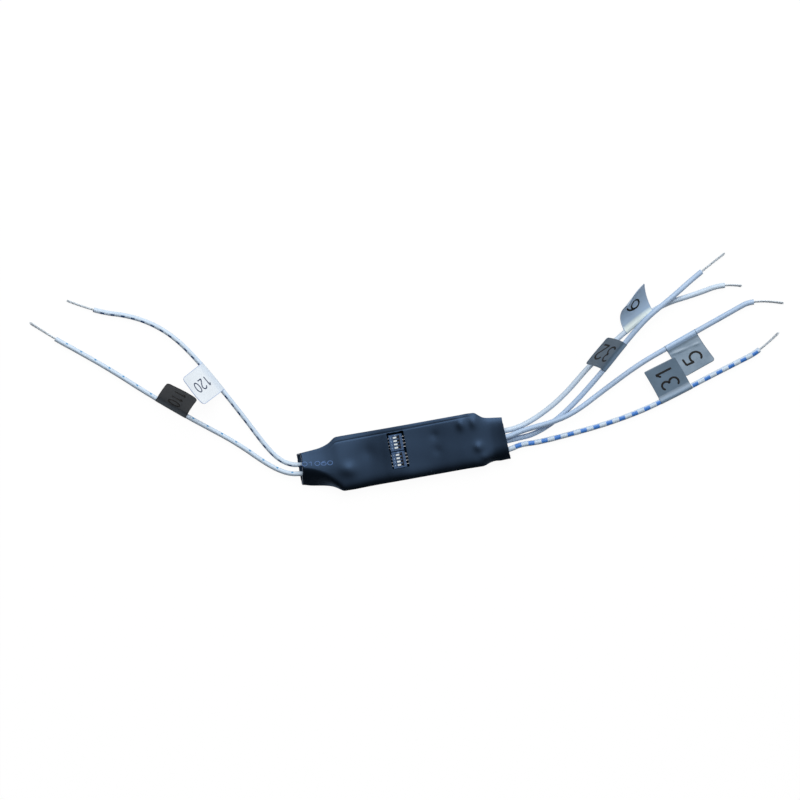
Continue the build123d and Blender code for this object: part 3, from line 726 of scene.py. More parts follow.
# %% The strip as a grid
LOOP_CLEARANCE = 0.01
MEETING_SHARE = 1.7
FLAG_STEPS = 44
LAYER_STEPS = 36
CORNER_STEPS = 9
LOOP_STEPS = 30


def flag_grid(name):
    """The strip's middle surface: rows along the lead, columns along the strip's profile, which
    is two straight layers and a circle round the lead. With it come each point's distances to
    the nearest edge and out from the lead, for the finish."""
    radius = lead_diameter(name) / 2 + FILM / 2 + LOOP_CLEARANCE
    span = lead_diameter(name) / 2 + FLAG_REACH
    meeting = MEETING_SHARE * radius
    corner = FLAGS[name]["corner"]
    along = np.linspace(0, FLAG_LENGTH, FLAG_STEPS)
    ends = corner * (1 - np.cos(np.linspace(0, math.pi / 2, CORNER_STEPS)))
    along = np.unique(np.concatenate([along, ends, FLAG_LENGTH - ends]))
    from_end = np.minimum(along, FLAG_LENGTH - along)
    inside = np.maximum(corner - from_end, 0)
    drawn_in = corner - np.sqrt(corner ** 2 - inside ** 2)
    edge = (span - drawn_in)[:, None]
    share = np.linspace(0, 1, LAYER_STEPS)[None, :]
    out = meeting + (edge - meeting) * share
    touch = math.acos(radius / meeting)
    back = np.linspace(touch, 2 * math.pi - touch, LOOP_STEPS)[None, :]
    loop_out = radius * np.cos(back) * np.ones_like(edge)
    loop_lift = radius * np.sin(back) * np.ones_like(edge)
    flat = np.full_like(out, LAYER_GAP)
    all_out = np.concatenate([out[:, ::-1], loop_out, out], axis=1)
    all_lift = np.concatenate([flat, loop_lift, -flat], axis=1)
    column = np.broadcast_to(along[:, None], all_out.shape)
    to_edge = np.minimum(np.minimum(column, FLAG_LENGTH - column), edge - all_out)
    return flag_place(name, column, all_out, all_lift), np.stack([to_edge, all_out], axis=-1)


# %% [markdown]
# The film is thin printed polyester. Two flags are a satin grey that mirrors the sky, one is
# silvery, one a paler blue grey, one a dull dark grey and one white. These colours are partly the
# films' own tones and partly painted light and shade: lighter and darker copies of the film, set
# for how each flag's tilt catches the light. Soft patches change the gloss, because the film was
# handled. One layer over the white lead looks paler than two layers on themselves, and the film's
# cut edge shows as a thin line of its own. Both are read from the UV map, which holds each point's
# distance to the nearest edge and its distance out from the lead.

# %% Film finishes
RIM_LINE = 0.3
POLYESTER_IOR = 1.57


def label_film(name, low, high, over_lead, rim, fade, roughness):
    """Polyester film: two close colours in patches 4 mm across, a colour over the lead, which
    fades out between two distances in mm, and a line of rim colour along the edges."""
    material = start_material(name)
    patches = noise(material, object_place(material), 4.0, 3.0)
    marks = pattern_marks(material)
    away = remap(material, marks["Y"], fade, curve="SMOOTHSTEP")
    colour = blend(material, away, over_lead, blend(material, patches, low, high))
    inside = remap(material, marks["X"], (RIM_LINE / 2, RIM_LINE))
    return finish_surface(material, blend(material, inside, rim, colour),
                          remap(material, patches, target=roughness), POLYESTER_IOR)


# Low and high colour, colour over the lead and on the rim, fade in mm, and roughness
# The colours differ from flag to flag partly as painted light and shade: lighter and darker copies
# of the same film
FILMS = {
    "dark_matt": ("#3d444c", "#495058", "#4b535c", "#1c2023", (0.8, 1.6), (0.5, 0.65)),
    "white_satin": ("#dde6ee", "#e6edf4", "#cddae8", "#a4b8da", (0.6, 2.6), (0.35, 0.45)),
    "grey_satin": ("#5b7184", "#6e879f", "#7d97b1", "#5f7488", (0.8, 1.6), (0.3, 0.42)),
    "pale_satin": ("#aac6e4", "#bcd3ec", "#e6f4f2", "#a8bfda", (0.9, 2.6), (0.3, 0.4)),
    "silver_satin": ("#6c859c", "#9db1c3", "#aac6e6", "#5f7488", (0.85, 1.3), (0.25, 0.36)),
}
films = {name: label_film(f"{name}_label_film", *row) for name, row in FILMS.items()}
FLAG_FILMS = {
    "bus_plus": ("dark_matt", "dark_label_film"),
    "bus_minus": ("white_satin", "white_label_film"),
    "zone_1": ("grey_satin", "grey_label_film"),
    "ground_1": ("silver_satin", "grey_label_film"),
    "zone_2": ("grey_satin", "grey_label_film"),
    "ground_2": ("pale_satin", "grey_label_film"),
}


def solidify(piece, name, thickness, offset):
    """Gives a surface its thickness in mm. Offset 0 grows it both ways and 1 outward."""
    layer = piece.modifiers.new(name, "SOLIDIFY")
    layer.thickness = thickness * MM
    layer.offset = offset


def make_flag(name):
    """One strip of film, given its thickness, in place of the flag's plain solid."""
    film, slot = FLAG_FILMS[name]
    grid, marks = flag_grid(name)
    piece = make_piece(f"{name}_film_flag", [grid], films[film], closed_columns=False,
                       marks=[marks], sharp=60.0)
    solidify(piece, "film_thickness", FILM, 0.0)
    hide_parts(f"{name}_flag")
    return piece


flags = {name: make_flag(name) for name in lines}
print("label flags:", len(flags))

# %% [markdown]
# ## Printed numbers
# The flags carry plain wire numbers, plotted with a round-ended pen. A digit is a few strokes on
# a cell 4 wide and 7 high. Each stroke is a ribbon along its path, drawn to a half circle at its
# ends, and every point of it is then laid on the flag's own surface, so that the ink follows the
# film's curl and waves.

# %% Strokes of the digits
def arc(centre, radii, first, last, count=28):
    """Points on an ellipse from one angle to another, in degrees."""
    turn = np.radians(np.linspace(first, last, count))
    return np.column_stack([centre[0] + radii[0] * np.cos(turn),
                            centre[1] + radii[1] * np.sin(turn)])


CELL_WIDTH, CELL_HEIGHT = 4, 7
# The pen's strokes for each sign, each a list of points in the sign's cell
STROKES = {
    "0": [arc((2, 3.5), (1.75, 3.5), 90, 450, 48)],
    "1": [[(0.7, 5.3), (2.2, 7), (2.2, 0)]],
    "2": [np.vstack([arc((1.95, 5.2), (1.75, 1.8), 170, -35), [(0.25, 0), (3.85, 0)]])],
    "3": [np.vstack([arc((1.9, 5.3), (1.6, 1.7), 150, -85),
                     arc((1.9, 1.85), (1.85, 1.85), 85, -150)])],
    "4": [[(3.0, 0), (3.0, 7), (0.1, 2.1), (4.0, 2.1)]],
    "5": [np.vstack([[(3.5, 7), (0.75, 7), (0.45, 3.7)],
                     arc((1.85, 2.25), (2.0, 2.25), 135, -145)])],
    "6": [arc((2, 2.1), (1.85, 2.1), 0, 360, 40), arc((4.1, 2.3), (3.95, 4.7), 180, 103)],
    "O": [arc((2.4, 3.5), (2.3, 3.5), 90, 450, 48)],
    "N": [[(0.3, 0), (0.3, 7), (4.1, 0), (4.1, 7)]],
}
RIBBON_COLUMNS = 7
CAP_STEPS = 6


def ribbon(path, width, step):
    """A pen stroke of even width along a path, with round ends: near an end the ribbon's half
    width is that of a half circle. It has seven points across."""
    path = np.column_stack([path, np.zeros(len(path))])
    total, half = line_length(path), width / 2
    cap = half * (1 - np.cos(np.linspace(0, math.pi / 2, CAP_STEPS)))[:-1]
    middle = np.linspace(half, total - half, max(2, int((total - width) / step) + 2))
    along = np.concatenate([cap, middle, total - cap[::-1]])
    look = 0.4 * half
    ahead = normalised((resample(path, along + look) - resample(path, along - look))[:, :2])
    side = np.column_stack([-ahead[:, 1], ahead[:, 0]])
    from_end = np.minimum(np.minimum(along, total - along), half)
    reach = np.sqrt(np.maximum(half ** 2 - (half - from_end) ** 2, 1e-6))
    spread = reach[:, None] * np.linspace(-1, 1, RIBBON_COLUMNS)
    return resample(path, along)[:, None, :2] + spread[..., None] * side[:, None, :]


def number_strokes(text, height, stroke, advance):
    """All ribbons of a number, in mm, centred on its middle."""
    size = height / CELL_HEIGHT
    width = (len(text) - 1) * advance + CELL_WIDTH * size
    return [ribbon(np.asarray(path) * size, stroke, stroke / 3)
            + (index * advance - width / 2, -height / 2)
            for index, sign in enumerate(text) for path in STROKES[sign]]


# %% [markdown]
# The numbers read outward on a flag that leaves the lead to its left, and inward on one that
# leaves it to the right, with their tops towards the module on all six.

# %% Numbers on the flags
INK_THICKNESS = 0.015
INK_GAP = 0.008
INK_LIFT = LAYER_GAP + FILM / 2 + INK_GAP
# Text, its height, stroke and advance in mm, and its middle's distance out from the lead
NUMBERS = {
    "bus_plus": ("110", 4.6, 0.66, 3.3, 6.6),
    "bus_minus": ("120", 4.1, 0.5, 2.9, 6.2),
    "zone_1": ("31", 6.6, 0.8, 4.9, 7.0),
    "ground_1": ("5", 6.8, 0.8, 5.0, 8.0),
    "zone_2": ("32", 6.6, 0.8, 4.9, 7.0),
    "ground_2": ("6", 6.0, 0.7, 5.0, 6.6),
}

black_ink = moulded("plotted_black_ink", "#050607", "#0b0c0e", 1.0, (0.6, 0.7), 0.1)
faded_ink = moulded("faded_blue_black_ink", "#2c3850", "#3a4866", 1.0, (0.6, 0.7), 0.1)


def make_print(name, grids, ink):
    """Ribbons of ink that lie on a surface and grow away from it into a thin solid."""
    piece = make_piece(name, grids, ink, closed_columns=False)
    solidify(piece, "ink_thickness", INK_THICKNESS, 1.0)
    return piece


def make_number(name):
    """A flag's number, laid on the film."""
    *lettering, middle = NUMBERS[name]
    side = FLAGS[name]["side"]
    grids = []
    for grid in number_strokes(*lettering):
        along = FLAG_LENGTH / 2 - grid[..., 1]
        placed = flag_place(name, along, middle + side * grid[..., 0], INK_LIFT)
        grids.append(placed[:, ::side])
    ink = faded_ink if name == "bus_minus" else black_ink
    return make_print(f"{name}_number", grids, ink)


numbers = {name: make_number(name) for name in lines}
print("numbers:", ", ".join(number[0] for number in NUMBERS.values()))

# %% [markdown]
# ## The leads' covered paths
# For each lead, points along its insulated stretch are taken at the lead's step and turned to
# metres.

for name, line in lines.items():
    covered = np.arange(INSULATION_START, insulation_end(name), LEAD_STEP)
    path = resample(line, np.append(covered, insulation_end(name))) * MM
print("cords declared:", len(lines))

# %% [markdown]
# ## The shrunk sleeve
# The sleeve is a length of polyolefin tube that was heated until it gripped the board. Over the
# board it is boxy: a nearly flat top, a dark side towards the viewer and a thin crease just
# inside the far edge. Past the board it has drawn in to a collar round the leads. It stays black
# and satin, so slopes of a few degrees are what the eye reads, and they are in the mesh.
#
# The film's plan outline, its height along the ridge and how it falls to each edge are given at
# a few places along the sleeve. Bumps over what lies below and hollows between them are listed
# with their sizes.

# %% Outline and heights of the film
SLEEVE_LEFT = sleeve_low[0]
SLEEVE_RIGHT = sleeve_high[0]
WALL = 0.5
RIGHT_OVERHANG = 0.3
SLEEVE_SHARP = 35.0
OUTLINE_X = (-39.4, -38.5, -35.75, -33.0, -30.6, -28.8, -27.4, -26.2, -25.2, -24.3, -22.2,
             -20.5, -14.0, 0.0, 16.0, 22.8, 27.6, 29.2, 30.6, 31.7, 32.7, 33.9, 35.4, 38.7, 39.6)
FAR_EDGE = (6.5, 6.55, 6.75, 6.95, 7.2, 7.6, 8.1, 8.65, 9.4, 10.0, 10.25,
            10.25, 10.2, 10.1, 10.1, 10.1, 10.05, 9.8, 8.6, 7.8, 7.4, 7.15, 6.95, 6.5, 6.4)
NEAR_EDGE = (-5.2, -5.35, -6.1, -6.6, -7.05, -7.5, -8.05, -8.7, -9.4, -10.0, -10.25,
             -10.3, -10.2, -10.2, -10.2, -10.2, -10.3, -10.3, -9.9, -9.5, -9.3, -9.2, -9.4, -9.35,
             -9.4)
HEIGHT_X = (-39.3, -35.0, -31.5, -28.5, -26.0, -23.5, -20.0, -16.0, -12.5, -8.0, -4.4, 1.8, 4.0,
            7.5, 12.5, 18.0, 24.0, 27.5, 29.5, 31.5, 33.5, 36.0, 39.5)
HEIGHTS = (4.75, 4.8, 4.85, 4.88, 4.9, 4.88, 4.68, 4.42, 4.3, 4.5, 4.85, 4.95, 4.75,
           4.5, 4.4, 4.6, 4.8, 4.75, 4.6, 4.4, 4.25, 4.4, 4.85)
RIDGE_X = (-39.4, -38.0, -32.2, -27.3, -23.8, -20.0, 24.0, 28.0, 31.0, 35.0, 39.5)
RIDGE_Y = (1.9, 1.4, -0.6, -3.0, -4.2, -4.2, -4.2, -4.2, -4.0, -3.4, -3.4)
# Power and drop of the fall to each edge
EDGE_X = (-39.4, -33.0, -29.0, -26.5, -24.0, -21.5, -18.0, -14.0, -11.0,
          24.5, 27.0, 29.5, 32.0, 34.5, 39.5)
FAR_POWER = (1.3, 1.3, 1.4, 1.55, 1.75, 2.1, 3.4, 8.0, 10.0,
             10.0, 10.0, 10.0, 9.0, 9.0, 9.0)
NEAR_POWER = (1.45, 1.5, 2.0, 3.0, 4.0, 4.0, 4.0, 4.0, 4.0,
              4.0, 4.0, 3.5, 3.0, 2.5, 2.5)
FAR_DROP = (1.1, 1.1, 1.08, 1.02, 0.95, 0.85, 0.6, 0.32, 0.26,
            0.26, 0.26, 0.32, 0.45, 0.6, 0.6)
NEAR_DROP = (3.0, 3.0, 2.3, 1.6, 1.1, 1.1, 1.1, 1.1, 1.1,
             1.1, 1.1, 1.3, 1.6, 1.7, 1.7)
LOWEST_SHOULDER = 0.95
CREASE_INSETS = (2.0, 1.2)
CREASE_DEPTH = 0.07
CREASE_WIDTH = 0.32
CREASE_ENDS = (-25.5, 26.0)
CREASE_FADE = (1.5, 1.2)
SWAY = 0.05
SWAY_LENGTHS = ((3.1, 4.3), (5.7, -2.9))
EDGE_POWER = 24
# Centre, radii along and across, and height of each bump or hollow in the film
FILM_BUMPS = (
    ((23.4, 6.5), (1.6, 2.1), 0.36),
    ((28.2, 6.4), (1.5, 2.2), 0.33),
    ((28.7, -3.0), (1.8, 1.9), 0.42),
    ((30.0, -6.8), (1.5, 1.6), 0.18),
    ((-20.4, -2.8), (3.0, 2.6), 0.5),
    ((-22.0, 0.0), (9.0, 6.0), 0.3),
    ((-13.0, 2.6), (2.8, 3.0), -0.2),
    ((12.7, 4.4), (1.6, 1.7), -0.14),
    ((12.9, -1.5), (1.7, 1.8), -0.12),
)


# %% [markdown]
# The height of the film's top is a formula of the place along and across it. The outline, the
# ridge on the left collar, the crease, the sag and the bumps are each one term of it.

# %% Height of the film's top
def smooth_through(x, places, values):
    """A smooth curve through given values: a cubic between neighbours, with the slope at each
    place taken from the places on either side of it."""
    places, values = np.asarray(places, float), np.asarray(values, float)
    slopes = np.gradient(values, places)
    x = np.clip(x, places[0], places[-1])
    index = np.clip(np.searchsorted(places, x) - 1, 0, len(places) - 2)
    span = places[index + 1] - places[index]
    t = (x - places[index]) / span
    return (values[index] * (1 + 2 * t) * (1 - t) ** 2 + slopes[index] * span * t * (1 - t) ** 2
            + values[index + 1] * t * t * (3 - 2 * t) + slopes[index + 1] * span * t * t * (t - 1))


def film_edges(x, inset):
    """Far and near edge of the film at each x, drawn in by the inset."""
    far = smooth_through(x, OUTLINE_X, FAR_EDGE) - inset
    return far, smooth_through(x, OUTLINE_X, NEAR_EDGE) + inset


def film_relief(x, y):
    """What is added to the height of the film's top: a crease that fades at both ends by a
    logistic curve, a hill for each bump or hollow, and a faint orange-peel of crossed waves."""
    crease_y = film_edges(x, 0.0)[0] - np.interp(x, CREASE_ENDS, CREASE_INSETS)
    left = 1 + np.exp(-(x - CREASE_ENDS[0]) * CREASE_FADE[0])
    right = 1 + np.exp((x - CREASE_ENDS[1]) * CREASE_FADE[1])
    relief = -CREASE_DEPTH / left / right * hill(y, crease_y, CREASE_WIDTH)
    for (centre_x, centre_y), (along, across), height in FILM_BUMPS:
        relief = relief + height * hill(x, centre_x, along) * hill(y, centre_y, across)
    waves = [np.sin(x / along + y / across + index)
             for index, (along, across) in enumerate(SWAY_LENGTHS)]
    return relief + SWAY * waves[0] * waves[1]


def film_top(x, y, inset=0.0):
    """Height of the film over the table. Across the sleeve it drops from the ridge to each
    edge as a power of the share of the way: a high power is a flat top with steep sides, and a
    low one is a tent. The relief is added and fades out close to the edges. Inset gives the
    inner face of the wall."""
    far, near = film_edges(x, inset)
    ridge = smooth_through(x, RIDGE_X, RIDGE_Y)
    top = smooth_through(x, HEIGHT_X, HEIGHTS) - inset
    far_share = np.clip((y - ridge) / (far - ridge), 0, 1)
    near_share = np.clip((ridge - y) / (ridge - near), 0, 1)
    for share, drop, power in ((far_share, FAR_DROP, FAR_POWER),
                               (near_share, NEAR_DROP, NEAR_POWER)):
        top = top - smooth_through(x, EDGE_X, drop) * share ** smooth_through(x, EDGE_X, power)
    fade = 1 - np.maximum(far_share, near_share) ** EDGE_POWER
    return np.maximum(top, LOWEST_SHOULDER + inset) + film_relief(x, y) * fade


# %% [markdown]
# The whole sleeve is one closed shell. A section has a top, two upright sides and a flat bottom.
# The shell's rows run from mouth to mouth on the outside and back on the inside, and its columns
# run round the section, so both ways close on themselves. Each column starts and ends at its own
# distance along, because the mouths were cut at a slant: the left one leaves the lower lip
# longer than the upper, and the right one leans the other way.

# %% Sleeve shell
TOP_COLUMNS = 150
SIDE_COLUMNS = 9
BOTTOM_COLUMNS = 40
OUTER_ROWS = 190
INNER_ROWS = 90
BOTTOM_RADIUS = 0.55
LIP_RADIUS = 0.12
LIP_SHARES = (0.15, 0.85)
LIP_BULGE = 0.9
SIDE_RISE = 0.25
LEFT_RAKE = (13.0, 24.0)
RIGHT_SKEW = 2.55
RIGHT_END = SLEEVE_RIGHT + RIGHT_OVERHANG
# Size, rate and start of the two waves in the cut edges
RAGGED = ((0.05, 2.1, 0.7), (0.03, 5.3, 0.0))


def section(x, inset):
    """The closed outline of the film at each x, one for each column: the top from the far edge
    to the near one, the near side, the bottom and the far side. Columns crowd towards the
    edges of the top by a cosine, and the lower corners are quarter circles."""
    columns = TOP_COLUMNS + 2 * SIDE_COLUMNS + BOTTOM_COLUMNS
    x = np.broadcast_to(x, (x.shape[0], columns))
    far, near = film_edges(x, inset)
    top = slice(0, TOP_COLUMNS)
    down = slice(TOP_COLUMNS, TOP_COLUMNS + SIDE_COLUMNS)
    under = slice(TOP_COLUMNS + SIDE_COLUMNS, columns - SIDE_COLUMNS)
    up = slice(columns - SIDE_COLUMNS, columns)
    y, z = np.empty_like(far), np.empty_like(far)
    share = (1 - np.cos(np.linspace(0, math.pi, TOP_COLUMNS))) / 2
    y[:, top] = far[:, top] + (near[:, top] - far[:, top]) * share
    z[:, top] = film_top(x[:, top], y[:, top], inset)
    turn = np.linspace(0, math.pi / 2, SIDE_COLUMNS - 1)
    drawn_in = np.concatenate([[0], BOTTOM_RADIUS * (1 - np.cos(turn))])
    side_z = inset + np.concatenate([[BOTTOM_RADIUS + SIDE_RISE],
                                     BOTTOM_RADIUS * (1 - np.sin(turn))])
    y[:, down], z[:, down] = near[:, down] + drawn_in, side_z
    y[:, up], z[:, up] = far[:, up] - drawn_in[::-1], side_z[::-1]
    low, high = near[:, under] + BOTTOM_RADIUS, far[:, under] - BOTTOM_RADIUS
    y[:, under] = low + (high - low) * np.linspace(0, 1, BOTTOM_COLUMNS + 2)[1:-1]
    z[:, under] = inset
    return x, y, z


def mouth(side, inset):
    """Distance along at which each column ends: the cut plane of that mouth, found in two
    steps because the section itself changes along the sleeve."""
    x = np.full((1, 1), SLEEVE_LEFT if side < 0 else RIGHT_END)
    for _ in range(2):
        _, y, z = section(x, inset)
        if side < 0:
            rake = np.interp(y, (NEAR_EDGE[0], FAR_EDGE[0]), LEFT_RAKE)
            cut = SLEEVE_LEFT + z * np.tan(np.radians(rake))
        else:
            cut = RIGHT_END - (y - NEAR_EDGE[-1]) * math.tan(math.radians(RIGHT_SKEW))
        x = cut + side * sum(size * np.sin(rate * y + begin) for size, rate, begin in RAGGED)
    return x


def shell_rows(inset, count, lip):
    """One side of the wall from the left mouth to the right one, lip mm short of each."""
    left, right = mouth(-1, inset) + lip, mouth(1, inset) - lip
    spread = np.linspace(0, 1, count)[:, None]
    x, y, z = section(left + (right - left) * spread, inset)
    return np.stack([x, y, z], axis=-1)


outer = shell_rows(0.0, OUTER_ROWS, LIP_RADIUS)
inner = shell_rows(WALL, INNER_ROWS, LIP_RADIUS)
lips = []
for row, side in ((-1, 1), (0, -1)):
    step = np.array((side * LIP_RADIUS * LIP_BULGE, 0, 0))
    lips.append(np.stack([outer[row] + (inner[row] - outer[row]) * share + step
                          for share in LIP_SHARES]))
shell = np.concatenate([outer, lips[0], inner[::-1], lips[1][::-1]])
print("sleeve shell:", shell.shape[0] * shell.shape[1], "points")

# %% [markdown]
# Satin black polyolefin is dark in itself, so most of what the eye sees is the sky on it: a low
# base colour and a broad highlight. Its bluish cast is painted: a blue specular tint colours every
# reflection of the white sky. Extrusion leaves faint lines along the tube and handling leaves
# cloudy patches of more or less gloss. A few specks of dust sit on it: they are the middles of
# some cells of a pattern, picked by the cells' random colours.

# %% Sleeve finish
SLEEVE_DARK = "#020305"
SLEEVE_LIGHT = "#070b10"
# Specular tint of the sleeve: a painted blue sheen on its reflections
SLEEVE_PAINTED_BLUE_SHEEN = "#9ac6ff"
SLEEVE_DUST = "#5d7d93"
SLEEVE_GLOSS = (0.33, 0.43)
SLEEVE_IOR = 1.86
SLEEVE_BUMP = 0.2
DRAWN_OUT = (0.06, 1.0, 1.0)
SPECK_EDGE = (0.02, 0.035)
SPECK_PICK = 0.72


def shrink_film():
    """Polyolefin heat-shrink film, extruded and shrunk: clouds 6 mm across in colour and
    gloss, lines 0.4 mm apart along it, and rare specks of dust in cells 5 mm across."""
    material = start_material("satin_black_heat_shrink")
    place = object_place(material)
    cloud = noise(material, place, 6.0, 4.0)
    cells = add_node(material, "TexVoronoi", {"Vector": place, "Scale": per(5.0)}).outputs
    speck = remap(material, cells["Distance"], SPECK_EDGE, (1.0, 0.0))
    random = add_node(material, "SeparateColor", {"Color": cells["Color"]}).outputs[0]
    picked = calculate(material, "GREATER_THAN", random, SPECK_PICK)
    dust = calculate(material, "MULTIPLY", speck, picked)
    colour = blend(material, cloud, SLEEVE_DARK, SLEEVE_LIGHT)
    stretched = add_node(material, "Mapping", {"Vector": place, "Scale": DRAWN_OUT})
    drawn = noise(material, stretched.outputs["Vector"], 0.4, 2.0)
    return finish_surface(material, blend(material, dust, colour, SLEEVE_DUST),
                          remap(material, cloud, target=SLEEVE_GLOSS), SLEEVE_IOR,
                          (drawn, SLEEVE_BUMP), {"Specular Tint": linear(SLEEVE_PAINTED_BLUE_SHEEN)})


heat_shrink = shrink_film()
sleeve = make_piece("shrunk_sleeve", [shell[:, ::-1]], heat_shrink,
                    closed_rows=True, sharp=SLEEVE_SHARP)
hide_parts("heat_shrink_sleeve")

# %% [markdown]
# The window was cut with a knife, so its edge is a little wavy. A prism with that outline is
# taken out of the sleeve's top with a Boolean, and the result is kept as a plain mesh.

# %% Cut the window
WINDOW_CENTRE = (-1.4, 1.3)
WINDOW_SIZE = (6.4, 13.7)
WINDOW_CORNER = 0.35
WINDOW_BOTTOM = 2.9
WINDOW_TOP = 7.0
WINDOW_STEPS = 160
KNIFE_WAVE = 0.05
KNIFE_RATES = (0.41, 0.133)


def window_outline():
    """A rounded rectangle as one loop of points. The knife's wave, the product of a quick and a
    slow sine, moves each point a little in or out."""
    half = np.array(WINDOW_SIZE) / 2
    corners = ((1, 1), (-1, 1), (-1, -1), (1, -1))
    arcs = [arc((half - WINDOW_CORNER) * corner, (WINDOW_CORNER, WINDOW_CORNER),
                90 * number, 90 * number + 90, 7) for number, corner in enumerate(corners)]
    loop = np.vstack(arcs + [arcs[0][:1]])
    loop = np.column_stack([loop, np.zeros(len(loop))])
    along = np.linspace(0, line_length(loop), WINDOW_STEPS, endpoint=False)
    count = np.arange(WINDOW_STEPS)
    wave = KNIFE_WAVE * np.sin(count * KNIFE_RATES[0]) * np.sin(count * KNIFE_RATES[1] + 1)
    return resample(loop, along)[:, :2] * (1 + wave[:, None] / half[0]) + WINDOW_CENTRE


outline = window_outline()
levels = [np.column_stack([outline, np.full(WINDOW_STEPS, z)])
          for z in (WINDOW_BOTTOM, WINDOW_TOP)]
cutter = make_piece("window_cutter", [np.stack(levels)], heat_shrink)
cut = sleeve.modifiers.new("window", "BOOLEAN")
cut.operation = "DIFFERENCE"
cut.solver = "EXACT"
cut.object = cutter
whole = sleeve.data
sleeve.data = bpy.data.meshes.new_from_object(
    sleeve.evaluated_get(bpy.context.evaluated_depsgraph_get()))
sleeve.modifiers.clear()
bpy.data.objects.remove(cutter)
bpy.data.meshes.remove(whole)
sleeve.data.shade_smooth()
sleeve.data.set_sharp_from_angle(angle=math.radians(SLEEVE_SHARP))
print("sleeve faces after the cut:", len(sleeve.data.polygons))

# %% [markdown]
# A line of faint print runs along the left collar, as tube makers put a size there. Plain
# digits stand for it. Shrinking narrowed the tube and not its length, so they look wide. The
# film's own height formula lays each of their points on it.

# %% Faint print on the collar
PRINT_TEXT = "01060"
PRINT_START = (-36.6, 2.35)
PRINT_END = (-27.2, 1.1)
PRINT_HEIGHT = 1.5
PRINT_STROKE = 0.25
PRINT_STRETCH = 2.5
PRINT_LIFT = 0.006
PRINT_STEP = 0.12

faint_print = moulded("faint_blue_print", "#3f649c", "#5a80b8", 1.5, (0.5, 0.6), 0.1)
baseline = np.array(PRINT_END) - np.array(PRINT_START)
print_onward = normalised(baseline)
print_up = np.array((-print_onward[1], print_onward[0]))
print_grids = []
for index, sign in enumerate(PRINT_TEXT):
    middle = np.array(PRINT_START) + baseline * index / (len(PRINT_TEXT) - 1)
    for path in STROKES[sign]:
        cell = np.asarray(path) - (CELL_WIDTH / 2, CELL_HEIGHT / 2)
        cell = cell * PRINT_HEIGHT / CELL_HEIGHT * (PRINT_STRETCH, 1)
        strip = ribbon(cell, PRINT_STROKE, PRINT_STEP)
        flat = middle + strip[..., :1] * print_onward + strip[..., 1:] * print_up
        height = film_top(flat[..., 0], flat[..., 1]) + PRINT_LIFT
        print_grids.append(np.concatenate([flat, height[..., None]], axis=-1))
make_print("collar_print", print_grids, faint_print)
print("strokes on the collar:", len(print_grids))

# %% [markdown]
# ## The address switches
# The two four-way slide switches are the imported solids: their shape is right, so they only get
# finishes. The body is heat-resistant nylon, matt from its glass fibre. The knobs are white nylon
# and the terminals bright tin. Three finishes get painted shade beyond a given height or side: the
# knobs' feet below the cover, the terminals where they run in under the cover, and the moulding's
# recess floor right of the knobs.

# %% Finishes of the solid parts
# For each slot: name, low and high colour, grain in mm, roughness, bump and metal
SOLID_ROWS = {
    "switch_moulding": ("glass_filled_blue_nylon", "#030810", "#4c74a6", 0.5, (0.3, 0.44), 0.5),
    "slider_nylon": ("white_moulded_nylon", "#dde9ee", "#f2f8fa", 0.5, (0.35, 0.45), 0.2),
    # The spring's gold is set darker than bright plating: painted shade for springs inside the
    # switch
    "gilt_spring": ("gold_plated_spring", "#6f5a2c", "#94793f", 0.6, (0.3, 0.42), 0.1, 1.0),
    # The tin is a near-white, barely metallic colour: partly tin's pale colour, partly a painted
    # highlight so the terminals show as bright dots, with a painted blue cast
    "tinned_metal": ("bright_tin_plate", "#e6f2ff", "#ffffff", 0.5, (0.35, 0.5), 0.1, 0.15),
    "solder": ("reflowed_solder", "#a9b0b5", "#cfd5d8", 0.8, (0.25, 0.4), 0.25, 1.0),
    "black_moulding": ("moulded_black_epoxy", "#101114", "#1b1d21", 0.8, (0.55, 0.7), 0.4),
    "tan_ceramic": ("fired_tan_ceramic", "#7c6549", "#9b8362", 0.4, (0.5, 0.65), 0.3),
    "yellow_moulding": ("moulded_yellow_epoxy", "#b8862a", "#d09d3c", 0.6, (0.4, 0.55), 0.25),
}
SOLID_FINISHES = {name: moulded(*row) for name, row in SOLID_ROWS.items()}
# The mask's near-black is partly its own tone and partly painted shade for the board deep in the
# window; its blue specular tint paints a blue cast on its reflection
SOLID_FINISHES["board_laminate"] = moulded("dark_green_solder_mask", "#04090b", "#081211", 2.0,
                                           (0.5, 0.6), 0.15, ior=1.3, tint="#9ac6ff")
# The painted shade's colour, and the spans in mm over which a finish turns to it: an axis, the
# coordinate where the shade begins and the one where it is full
PAINTED_SHADE_PARTS = {
    "slider_nylon": ("#0b0f16", [("Z", 4.25, 3.75)]),
    "tinned_metal": ("#0b0f16", [("X", -4.15, -4.05), ("X", 0.95, 0.85)]),
    "switch_moulding": ("#121d30", [("Z", 4.5, 4.4), ("X", -0.65, -0.5)]),
}


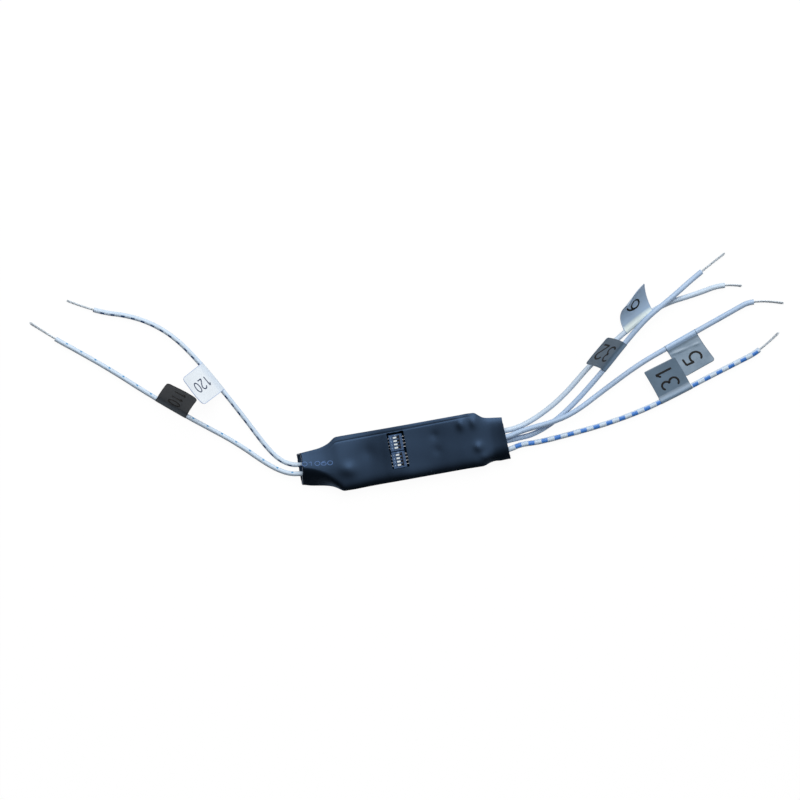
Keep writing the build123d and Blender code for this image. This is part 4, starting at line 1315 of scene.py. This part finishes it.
def add_painted_shade(material, colour, spans):
    """Mixes painted shade into a finish where every coordinate is on the shaded side of its span:
    the shares of the spans are multiplied."""
    shader = next(node for node in material.node_tree.nodes if node.type == "BSDF_PRINCIPLED")
    plain = shader.inputs["Base Color"].links[0].from_socket
    place = axes(material, object_place(material))
    share = 1.0
    for axis, begins, full in spans:
        part = remap(material, place[axis], (begins * MM, full * MM))
        share = calculate(material, "MULTIPLY", part, share)
    material.node_tree.links.new(blend(material, share, plain, colour),
                                 shader.inputs["Base Color"])


for slot_name, (colour, spans) in PAINTED_SHADE_PARTS.items():
    add_painted_shade(SOLID_FINISHES[slot_name], colour, spans)

dressed = 0
for part in frame["record"]["subparts"]:
    finish = SOLID_FINISHES.get(part["material_slot"])
    if finish:
        for material_slot in frame["nodes"][part["node"]].material_slots:
            material_slot.material = finish
        dressed += 1
print("solid nodes with a finish:", dressed)

# %% [markdown]
# The print on each cover stands just over the moulding: a digit for each way, left of its knob,
# and the word at the far end.

# %% Print on the switch covers
PRINT_LEVEL = 4.604
SWITCH_PITCH = 1.27
SWITCH_CENTRES = {"a": (-1.6, 4.15), "b": (-1.6, -2.35)}
DIGIT_OFFSET = -1.75
DIGIT_HEIGHT = 0.62
DIGIT_STROKE = 0.12
WORD_OFFSET = (0.1, 2.8)
WORD_HEIGHT = 0.4
WORD_ADVANCE = 0.42

pale_print = moulded("pale_blue_pad_print", "#86a8d6", "#a4c0e4", 0.5, (0.5, 0.6), 0.1)


def flat_print(text, centre, height, advance=0.0):
    """Ribbons of a short text, level and just over the switches' top."""
    return [np.concatenate([grid + centre, np.full(grid.shape[:2] + (1,), PRINT_LEVEL)], axis=-1)
            for grid in number_strokes(text, height, DIGIT_STROKE, advance)]


for name, (x, y) in SWITCH_CENTRES.items():
    word = (x + WORD_OFFSET[0], y + WORD_OFFSET[1])
    grids = []
    for way in range(4):
        place = (x + DIGIT_OFFSET, y + (1.5 - way) * SWITCH_PITCH)
        grids += flat_print(str(way + 1), place, DIGIT_HEIGHT)
    grids += flat_print("ON", word, WORD_HEIGHT, WORD_ADVANCE)
    make_print(f"switch_{name}_print", grids, pale_print)
    print("strokes on switch", name + ":", len(grids))
